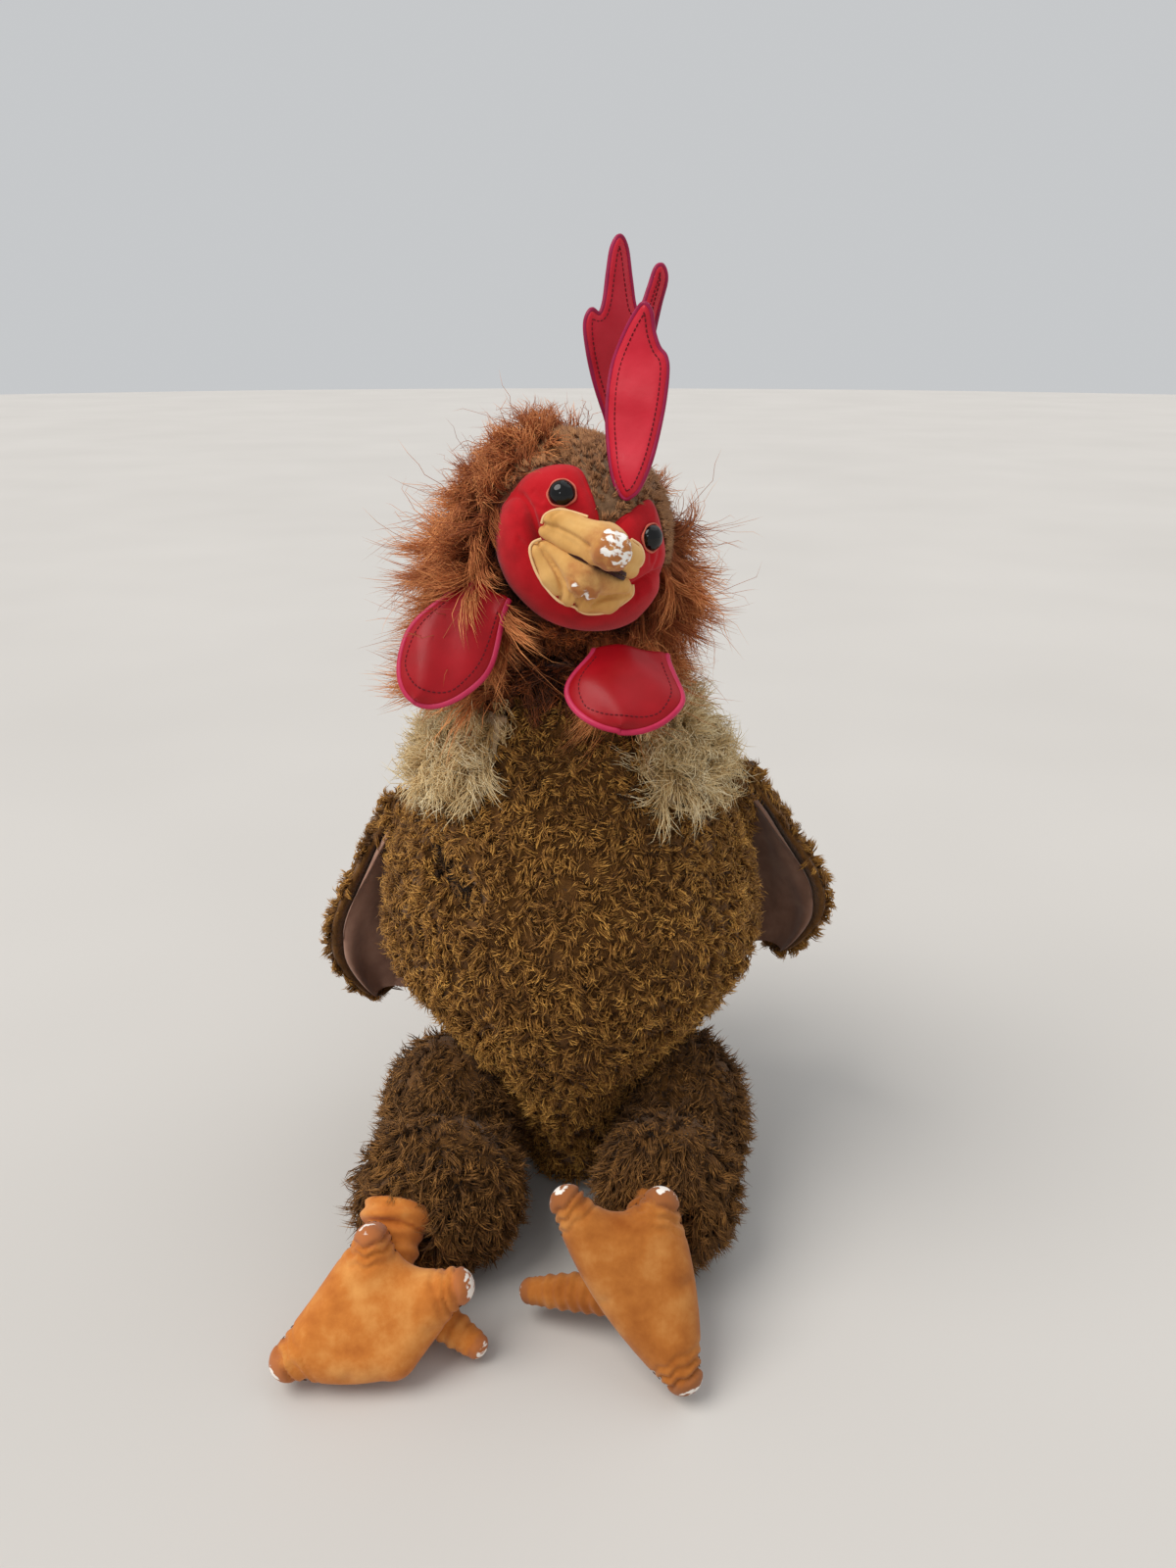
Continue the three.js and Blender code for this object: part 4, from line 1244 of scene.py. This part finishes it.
# ---------------------------------------------------------------- head
MASK_OUTLINE = [  # azimuth and elevation round the red face
    (-60, 6), (-56, 19), (-43, 31), (-29, 34), (-17, 25), (-8, 15), (-1, 8), (7, 20), (22, 35), (32, 36),
    (42, 25), (53, 14), (66, -4), (70, -19), (66, -38), (36, -56), (-6, -62), (-42, -51), (-58, -34),
    (-63, -12),
]
MASK_MIDDLE = vec(0, -12)
MASK_LIFT = 2.5  # how far the face's lines are above the head
MASK_BACK = 2.2  # how far its back is below the head's surface
MASK_COLUMNS, MASK_RINGS = 260, 84
FACE_SEAMS = [  # grooves between the padded face panels
    [(-58, 4), (-50, 5), (-42, 1), (-35, -6), (-30, -12)],
    [(64, 0), (52, 2), (41, -2), (33, -9), (27, -15)],
    [(-1, 9), (-1, 4)],
]
FACE_FOLDS = [  # shallow wrinkles: from, to, depth
    [(-44, 9), (-38, 7), 0.7],
    [(-40, 3), (-33, 4), 0.5],
    [(34, 4), (30, 10), 0.9],
    [(39, 2), (38, 10), 0.6],
    [(27, -19), (33, -16), 0.8],
    [(-33, -17), (-39, -15), 0.7],
    [(-20, 8), (-12, 6), 0.4],
]
EYES = {"left": (-30, 15), "right": (27.5, 15)}
EYE_R = 5.1
EYE_WALL, EYE_DOME = 2.9, 4.0  # the heights of an eye's side and of its dome


def on_head(azimuth, elevation, out):
    a, e = np.radians(azimuth), np.radians(elevation)
    way = np.stack([np.sin(a) * np.cos(e), -np.cos(a) * np.cos(e), np.sin(e) + 0 * a], -1)
    return way * (HEAD_RADII + np.asarray(out)[..., None])


def head_angles(p):
    """Azimuth and elevation of points in the head's own axes."""
    q = unit(p / HEAD_RADII)
    return np.degrees(np.arctan2(q[:, 0], -q[:, 1])), np.degrees(np.arcsin(np.clip(q[:, 2], -1, 1)))


def distance_to(p, path):
    return np.min(np.linalg.norm(p[:, None] - path[None], axis=2), axis=1)


def head_path(points, count, ring=False):
    az, el = curve_through(np.array(points, float), count, ring).T
    return on_head(az, el, 0 * az + MASK_LIFT)


def mask_relief(az, el):
    """How far the padded face stands off the head at each azimuth and elevation."""
    p = on_head(az, el, 0 * az + MASK_LIFT)
    edge = distance_to(p, head_path(MASK_OUTLINE, 400, ring=True))
    seam = distance_to(p, np.concatenate([head_path(s, 60) for s in FACE_SEAMS]))
    left_line = np.interp(az, [-58, -42, -30], [4, 1, -12])
    right_line = np.interp(az, [27, 41, 64], [-15, -2, 0])
    band = smooth((np.where(az < 0, left_line, right_line) - el) / 8)
    low = smooth((-14 - el) / 26)
    puff = mix(3.4, 6.4 + 1.6 * low, band)
    rounded = 1 - np.exp(-((edge / mix(4.5, 8.0, band)) ** 1.3))
    out = puff * rounded + 0.2
    out -= np.minimum(2.8, 0.75 * out) * np.exp(-((seam / 1.3) ** 2)) + 1.0 * np.exp(-((seam / 4.5) ** 2))
    for a, b, depth in FACE_FOLDS:
        fold = distance_to(p, head_path([a, b], 12))
        out -= depth * np.exp(-((fold / 1.3) ** 2))
    for at in EYES.values():
        socket = distance_to(p, on_head(*np.array([at]).T, np.array([MASK_LIFT])))
        out -= 1.1 * np.exp(-((socket / 8.0) ** 2))
    out += ripple_noise(p, 17, 51, 2) * 0.22
    return np.where(edge < 0.6, out, np.maximum(out, 0.7))


def mask():
    around, rings = MASK_COLUMNS, MASK_RINGS
    outline = curve_through(np.array(MASK_OUTLINE, float), around, ring=True)
    r = np.linspace(0, 1, rings + 1)[1:] ** 0.9
    grid = MASK_MIDDLE + (outline[None] - MASK_MIDDLE) * r[:, None, None]
    az, el = np.concatenate([[MASK_MIDDLE], grid.reshape(-1, 2)]).T
    points = np.concatenate([on_head(az, el, mask_relief(az, el)), on_head(az, el, 0 * az - MASK_BACK)])
    n = len(az)
    k = np.arange(around)
    k2 = (k + 1) % around
    faces = [np.stack([0 * k, 1 + k, 1 + k2], 1)]
    for i in range(rings - 1):
        a, b = 1 + i * around, 1 + (i + 1) * around
        faces += [np.stack([a + k, b + k, b + k2], 1), np.stack([a + k, b + k2, a + k2], 1)]
    faces = np.concatenate(faces)
    last = 1 + (rings - 1) * around
    outer, following = last + k, last + k2
    wall = [np.stack([outer, outer + n, following + n], 1), np.stack([outer, following + n, following], 1)]
    faces = np.concatenate([faces, faces[:, ::-1] + n, *wall])
    obj = make_object("face_mask", from_head(points), faces, [red_velour])
    outward(obj)
    hinge_line = [from_head(vec(0, y, z)) * MM for y, z in ((-42, -3), (-40, -17))]
    dress(
        obj, None, ["cheek_panel_left", "cheek_panel_right", "chin_panel", "jaw_wadding"],
        ("head", "jaw", *hinge_line),
    )


def spokes_round(axis, count):
    """Angles round an axis and the unit vectors square to it there."""
    side = unit(np.cross(axis, vec(0.2, 0.3, 0.9)))
    other = np.cross(axis, side)
    a = np.arange(count) * 2 * math.pi / count
    return a, side * np.cos(a)[:, None] + other * np.sin(a)[:, None]


def lathe(name, profile, centre, axis, material, sides=48):
    """A turned piece from (radius, height) pairs along an axis, first and last at radius 0."""
    _, spokes = spokes_round(axis, sides)
    rings = [centre + axis * h + spokes * r for r, h in profile[1:-1]]
    ends = np.array([centre + axis * profile[0][1], centre + axis * profile[-1][1]])
    points = np.concatenate([*rings, ends])
    k = np.arange(sides)
    k2 = (k + 1) % sides
    faces = []
    for i in range(len(rings) - 1):
        a0, b0 = i * sides, (i + 1) * sides
        faces += [np.stack([a0 + k, a0 + k2, b0 + k2], 1), np.stack([a0 + k, b0 + k2, b0 + k], 1)]
    first, last = len(rings) * sides, len(rings) * sides + 1
    faces.append(np.stack([first + 0 * k, k2, k], 1))
    top = (len(rings) - 1) * sides
    faces.append(np.stack([last + 0 * k, top + k, top + k2], 1))
    obj = make_object(name, points, np.concatenate(faces), [material])
    outward(obj)
    return obj


def eye(name, side):
    """A domed eye with a flat back, and a frayed rim of cloth round it."""
    az, el = (np.array([a], float) for a in EYES[name])
    at = on_head(az, el, np.array([0.0]))[0]
    centre, axis = from_head(at), HEAD_AXES @ unit(at / HEAD_RADII ** 2)
    profile = [(0, -1), (EYE_R - 0.6, -1), (EYE_R, 0.5), (EYE_R + 0.1, 2.2), (EYE_R - 0.05, EYE_WALL)]
    for a in np.linspace(8, 84, 14):
        a = math.radians(a)
        profile.append((EYE_R * math.cos(a), EYE_WALL + EYE_DOME * math.sin(a)))
    profile.append((0, 7.0))
    dome = lathe(f"eye_{name}_dome", profile, centre, axis, eye_black)
    dress(dome, "head", [f"eye_{name}"])
    a, spokes = spokes_round(axis, 64)
    wobble = 0.25 * np.sin(3 * a + side) + 0.15 * np.sin(7 * a)
    reach = EYE_R + 0.35 + 0.7 * wobble
    relief = mask_relief(az + 8.0, el)[0]
    ring = centre + axis * (relief + 0.25) + spokes * reach[:, None]
    rim = tube(f"eye_{name}_rim", ring, 0.42 + 0.1 * np.sin(5 * a), rim_cloth, ring=True)
    dress(rim, "head")


def creased(p, creases):
    """Grooves on the front of a piece: each crease is a line of (x, z) points, a depth and a width."""
    total = np.zeros(len(p))
    for line, depth, width in creases:
        path = curve_through(np.array(line, float), 40)
        d = np.min(np.linalg.norm(p[:, None, [0, 2]] - path[None], axis=2), axis=1)
        total += depth * np.exp(-((d / width) ** 2))
    return -total


UPPER_CREASES = [
    ([(-27, -3.2), (-20, -1.6), (-14, -1.6), (-9, -2.6)], 1.3, 0.8),
    ([(-20.5, 4.6), (-22.6, 1.4), (-20, -0.9)], 0.7, 0.6),
    ([(-16, 2.6), (-9, 4.4), (-4, 6.2)], 0.35, 0.8),
    ([(7.6, 8), (7.0, 3), (7.8, -2), (6.6, -7)], 1.3, 0.8),
    ([(-4, 1.8), (0, 0.6), (3, -2.4), (6, -3.6)], 0.55, 0.55),
    ([(1, 5), (3.4, 1.8), (6.4, 0.6)], 0.5, 0.5),
    ([(-5, -2.6), (-1.4, -3.6), (2.2, -6.4)], 0.5, 0.5),
]
LOWER_CREASES = [
    ([(-23.5, -9.2), (-18, -12.6), (-12.6, -16.4), (-9.4, -20), (-7.6, -25)], 1.7, 0.9),
    ([(-1.4, -18.4), (-0.9, -22), (-0.3, -27)], 1.9, 0.9),
    ([(18, -13), (12, -15.2), (7.4, -18.4), (5.4, -22)], 1.5, 0.9),
    ([(-9, -15.4), (-5, -18), (-0.5, -18.6), (4.4, -16.6)], 0.6, 0.6),
    ([(-6, -12.6), (-3.4, -14.6), (0, -14.8)], 0.4, 0.5),
    ([(-5, -20.4), (-4.2, -23)], 0.6, 0.6),
    ([(2.4, -20), (2.6, -22.6)], 0.5, 0.6),
]


def upper_beak_field(p):
    f = cone(p, (-17, -44, 0.8), (-1, -58, 0.4), 6.0, 7.2)
    f = joined(f, ellipsoid(p, vec(-18, -44.5, 0), vec(6.8, 4.4, 5.2)), 1.5)
    f = joined(f, cone(p, (2, -52, 1), (12.5, -46.5, 1.2), 6.2, 5.2), 2)
    f = joined(f, ellipsoid(p, vec(0.2, -60.5, -0.2), vec(8.4, 8.0, 7.6)), 2)
    f = joined(f, cone(p, (0, -38, 1), (0, -50, 1), 8, 8), 4)
    f = joined(f, cone(p, (0, -55, -4.4), (14, -47.5, -3.4), 4.0, 3.6), 1.0)
    return joined(f, cone(p, (-21.5, -43.4, -4.6), (-4, -57, -5.0), 2.6, 3.8), 0.6)


def lower_beak_field(p):
    f = cone(p, (-20, -43.5, -12), (-12.5, -47, -19), 4.2, 4.6)
    f = joined(f, cone(p, (-12.5, -47, -19), (-3.5, -48.5, -21.6), 4.6, 5.0), 2)
    right = cone(p, (16.2, -45.4, -12), (11.5, -47.4, -18.2), 4.1, 4.5)
    right = joined(right, cone(p, (11.5, -47.4, -18.2), (2.5, -48.5, -21.6), 4.5, 5.0), 2)
    bulge = cone(p, (-18, -44, -9.5), (-4, -54.5, -13.6), 3.2, 5.6)
    bulge = joined(bulge, cone(p, (-4, -54.5, -13.6), (13, -48, -10.8), 5.8, 4.4), 2)
    bulge = joined(bulge, ellipsoid(p, vec(-2, -55.5, -16.5), vec(6.8, 5.4, 5.2)), 1.5)
    f = joined(joined(f, right, 0.8), bulge, 0.6)
    return joined(f, cone(p, (-12, -38, -15), (10, -38, -15), 7, 7), 3)


BEAK_EDGES = {
    "lower_beak_edge": [
        (-22, -44.5, -7.6), (-24.4, -44.3, -10.5), (-24.0, -45.2, -14), (-19.3, -47, -19.4),
        (-13.6, -48.6, -23.2), (-7, -49.9, -25.8), (-0.6, -49.8, -25.4), (5, -50.0, -25.8),
        (12.2, -49, -22.4), (17.0, -47.4, -17.4), (20.2, -45.8, -12), (18.8, -45.2, -8.2),
    ],
    "upper_beak_edge_left": [
        (-24.4, -44.7, -2.5), (-24.6, -44.8, 0.9), (-21.8, -45.6, 4.4), (-17, -47, 6.2), (-11, -51, 7.2),
    ],
    "upper_beak_edge_right": [
        (9, -49, 7.0), (13.5, -48, 6.4), (16.8, -47.6, 3.6), (17.6, -47.5, 0.2), (15.6, -48, -3.2),
    ],
}


def beak():
    obj, p = implicit(
        "upper_beak_pad", upper_beak_field, vec(-29, -73, -13), vec(24, -30, 14), 0.7, beak_velour, from_head
    )
    n = normals_of(obj) @ HEAD_AXES
    lumps = ripple_noise(p, 9, 61, 3) * 0.25
    worn = smooth((-p[:, 1] - 57) / 6) * smooth((p[:, 0] + 11) / 6)
    wrinkle = np.sin(p[:, 0] * 1.1 + p[:, 2] * 0.9 + 1.5 * np.sin(p[:, 2] * 0.5))
    lumps += 0.25 * worn * wrinkle + creased(p, UPPER_CREASES) * smooth((-p[:, 1] - 40) / 5)
    set_points(obj, from_head(p + n * lumps[:, None]))
    attribute(obj, "wear", worn * smooth((p[:, 2] + 8) / 5))
    attribute(obj, "grime", np.maximum(0.8 * worn, 0.5 * smooth((-p[:, 1] - 52) / 9)))
    dress(obj, "head", ["upper_beak"])

    obj, p = implicit(
        "lower_beak_pad", lower_beak_field, vec(-29, -65, -31), vec(25, -30, -4), 0.7, beak_velour, from_head
    )
    n = normals_of(obj) @ HEAD_AXES
    lumps = ripple_noise(p, 8, 62, 3) * 0.28
    lumps += creased(p, LOWER_CREASES) * smooth((-p[:, 1] - 41) / 5)
    worn = smooth((-p[:, 1] - 54) / 5) * smooth((-13 - p[:, 2]) / 4)
    set_points(obj, from_head(p + n * lumps[:, None]))
    attribute(obj, "wear", 0.8 * worn)
    attribute(obj, "grime", np.maximum(0.8 * worn, 0.55 * smooth((-p[:, 1] - 50) / 7)))
    dress(obj, "jaw", ["lower_beak"])

    for name, points in BEAK_EDGES.items():
        obj = tube(name, from_head(curve_through(points, 120)), 0.55, edge_velour)
        dress(obj, "jaw" if name.startswith("lower") else "head")


def inside_mask(p):
    """Azimuth and elevation of points in the head's own axes, and how far they are inside the red face."""
    az, el = head_angles(p)
    return az, el, depth_inside(np.stack([az, el], 1), curve_through(MASK_OUTLINE, 120, ring=True))


def head():
    base, _ = implicit(
        "head_skin", lambda p: ellipsoid(p, vec(0, 0, 0), HEAD_RADII - 0.4),
        -HEAD_RADII - 4, HEAD_RADII + 4, 2.4, crown_backing, from_head,
    )
    dress(base, "head", ["head_plush", "head_wadding"])
    mask()
    for name, side in SIDES:
        eye(name, side)
    beak()

    def crown(p, n):
        az, el, inside = inside_mask(to_head(p))
        return (inside < -0.5) * (el > 0) * ((np.abs(az) < 84) | (el > 52)) * 1.0

    def crown_way(p, n):
        across = to_head(p)[:, 0]
        away = np.stack([across * 0.5, 0 * across + 16, 0 * across], 1) @ HEAD_AXES.T
        return unit(away) * 0.9 + vec(0, 0, -0.1)

    def throat(p, n):
        az, el, inside = inside_mask(to_head(p))
        return (inside < 1.0) * (el < -28) * (np.abs(az) < 100) * 1.0

    fur("crown_pile", "head", base, CROWN, count=28_000, length=4.2, radius=0.2, seed=71,
        where=crown, lean=crown_way, clump=2.0, rise=0.9, curl=0.8, tight=0.25, frizz=0.25, scatter=0.3,
        segments=2, patches=16, variety=0.5)
    fur("throat_pile", "head", base, THROAT, count=10_000, length=13, radius=0.2, seed=72,
        where=throat, lean=lambda p, n: vec(0, -0.1, -0.5), clump=4, rise=0.6, curl=2.6, tight=0.4,
        frizz=1.0, segments=4, patches=14)


# ---------------------------------------------------------------- mane and neck
def mane():
    def shape(u, v, w):
        az, el = mix(58, 302, u), mix(-58, 62, v)
        edge = smooth(7 * np.minimum(u, 1 - u)) * smooth(6 * np.minimum(v, 1 - v))
        return from_head(on_head(az, el, -1.4 + (w + 1) * (0.6 + 1.5 * edge)))

    skin = slab("mane_skin", 90, 50, shape, russet_backing)
    dress(skin, "head", ["mane"])

    def outside(p, n):
        """Behind the face and round the back, and lower on the right temple."""
        q = to_head(p)
        az, el, inside = inside_mask(q)
        facing = ((q @ HEAD_AXES.T) * n).sum(1) > 8
        behind = smooth((np.abs(az) - 60) / 60)
        top = np.where(az > 0, mix(8, 60, behind), mix(46, 62, behind))
        return facing * (inside < -1.5) * ((el < top) * 1.0) * (1 + 1.4 * smooth((340 - p[:, 2]) / 40))

    def swept(p, n):
        """Away from the face above, and down below; forwards on the cheeks."""
        q = to_head(p)
        away = unit(q * vec(1, 0.8, 0.6) + vec(0, 14, 0)) @ HEAD_AXES.T
        down = smooth((348 - p[:, 2]) / 50)[:, None]
        az, el = head_angles(q)
        cheek = smooth((96 - np.abs(az)) / 22) * smooth((np.where(az < 0, 6, -14) - el) / 12)
        way = away * mix(0.9, 0.8, down) + vec(0, 0, -1) * mix(0.25, 1.0, down)
        return way + vec(0, -1.6, -0.4) * cheek[:, None]

    def reach(p, n):
        shorter = mix(1.0, 0.72, smooth((p[:, 0] - 12) / 16))  # brushed back on the right
        return mix(0.6, 2.6, smooth((350 - p[:, 2]) / 52)) * shorter

    fur("mane_locks", "head", skin, MANE, count=31_000, length=21, radius=0.19, seed=81,
        where=outside, lean=swept, clump=5.0, rise=0.45, curl=1.6, tight=0.4, frizz=1.1, scatter=0.45,
        pull=(0, 0, -0.4), segments=5, patches=20, reach=reach)
    fur("mane_wisps", "head", skin, MANE, count=2_600, length=26, radius=0.13, seed=82,
        where=outside, lean=swept, clump=9, rise=0.9, curl=1.6, tight=0.35, frizz=2.0, scatter=0.8,
        pull=(0, 0, -0.15), segments=7, patches=20, reach=reach)


def level_way(p, x, y):
    """The level way from an upright line to each point."""
    return unit((p - vec(x, y, 0)) * LEVEL)


def neck(part):
    skin = soft_skin(f"neck_{part}_skin", [f"neck_wadding_{part}"], 2.2, 8, russet_backing)
    dress(skin, f"neck_{part}", [f"neck_wadding_{part}"])
    fur(f"neck_{part}_pile", f"neck_{part}", skin, THROAT, count=4_000, length=17, radius=0.24,
        seed=96, where=lambda p, n: ((level_way(p, -6, -18) * n).sum(1) > 0.15) * 1.0,
        lean=lambda p, n: level_way(p, -6, -18) * 0.5 + vec(0, 0, -0.5), clump=4.5, rise=0.6, curl=2.6,
        tight=0.45, frizz=1.0, segments=4, patches=16)
    return skin


def ruff(skin):
    """Long locks that stand out to the sides of the neck, over the mantle."""
    def flared(p, n):
        way = level_way(p, -4, -15)
        return ((way * n).sum(1) > 0.3) * smooth((way[:, 1] + 0.95) / 0.3)

    def outwards(p, n):
        return level_way(p, -4, -15) * vec(1.6, 0.7, 0) + vec(0, 0, 0.12)

    def sides(p, n):
        return mix(0.55, 1.0, np.abs(level_way(p, -4, -15)[:, 0])) * np.where(p[:, 0] < 0, 1.05, 0.62)

    fur("neck_ruff", "neck_lower", skin, MANE, count=5_500, length=45, radius=0.2, seed=97,
        where=flared, lean=outwards, clump=5.5, rise=0.3, curl=1.2, tight=0.35, frizz=1.6, scatter=0.4,
        pull=(0, 0, -0.35), segments=5, patches=18, reach=sides)


torso()
tail()
mantle()
for build in (leg, wing, foot):
    for name, side in SIDES:
        build(name, side)
comb_leaf("front", COMB_FRONT, comb_front_y, ["comb_panel"])
comb_leaf("rear", COMB_REAR, comb_rear_y)
for name, side in SIDES:
    wattle(name, side)
head()
mane()
ruff(neck("lower"))
neck("upper")
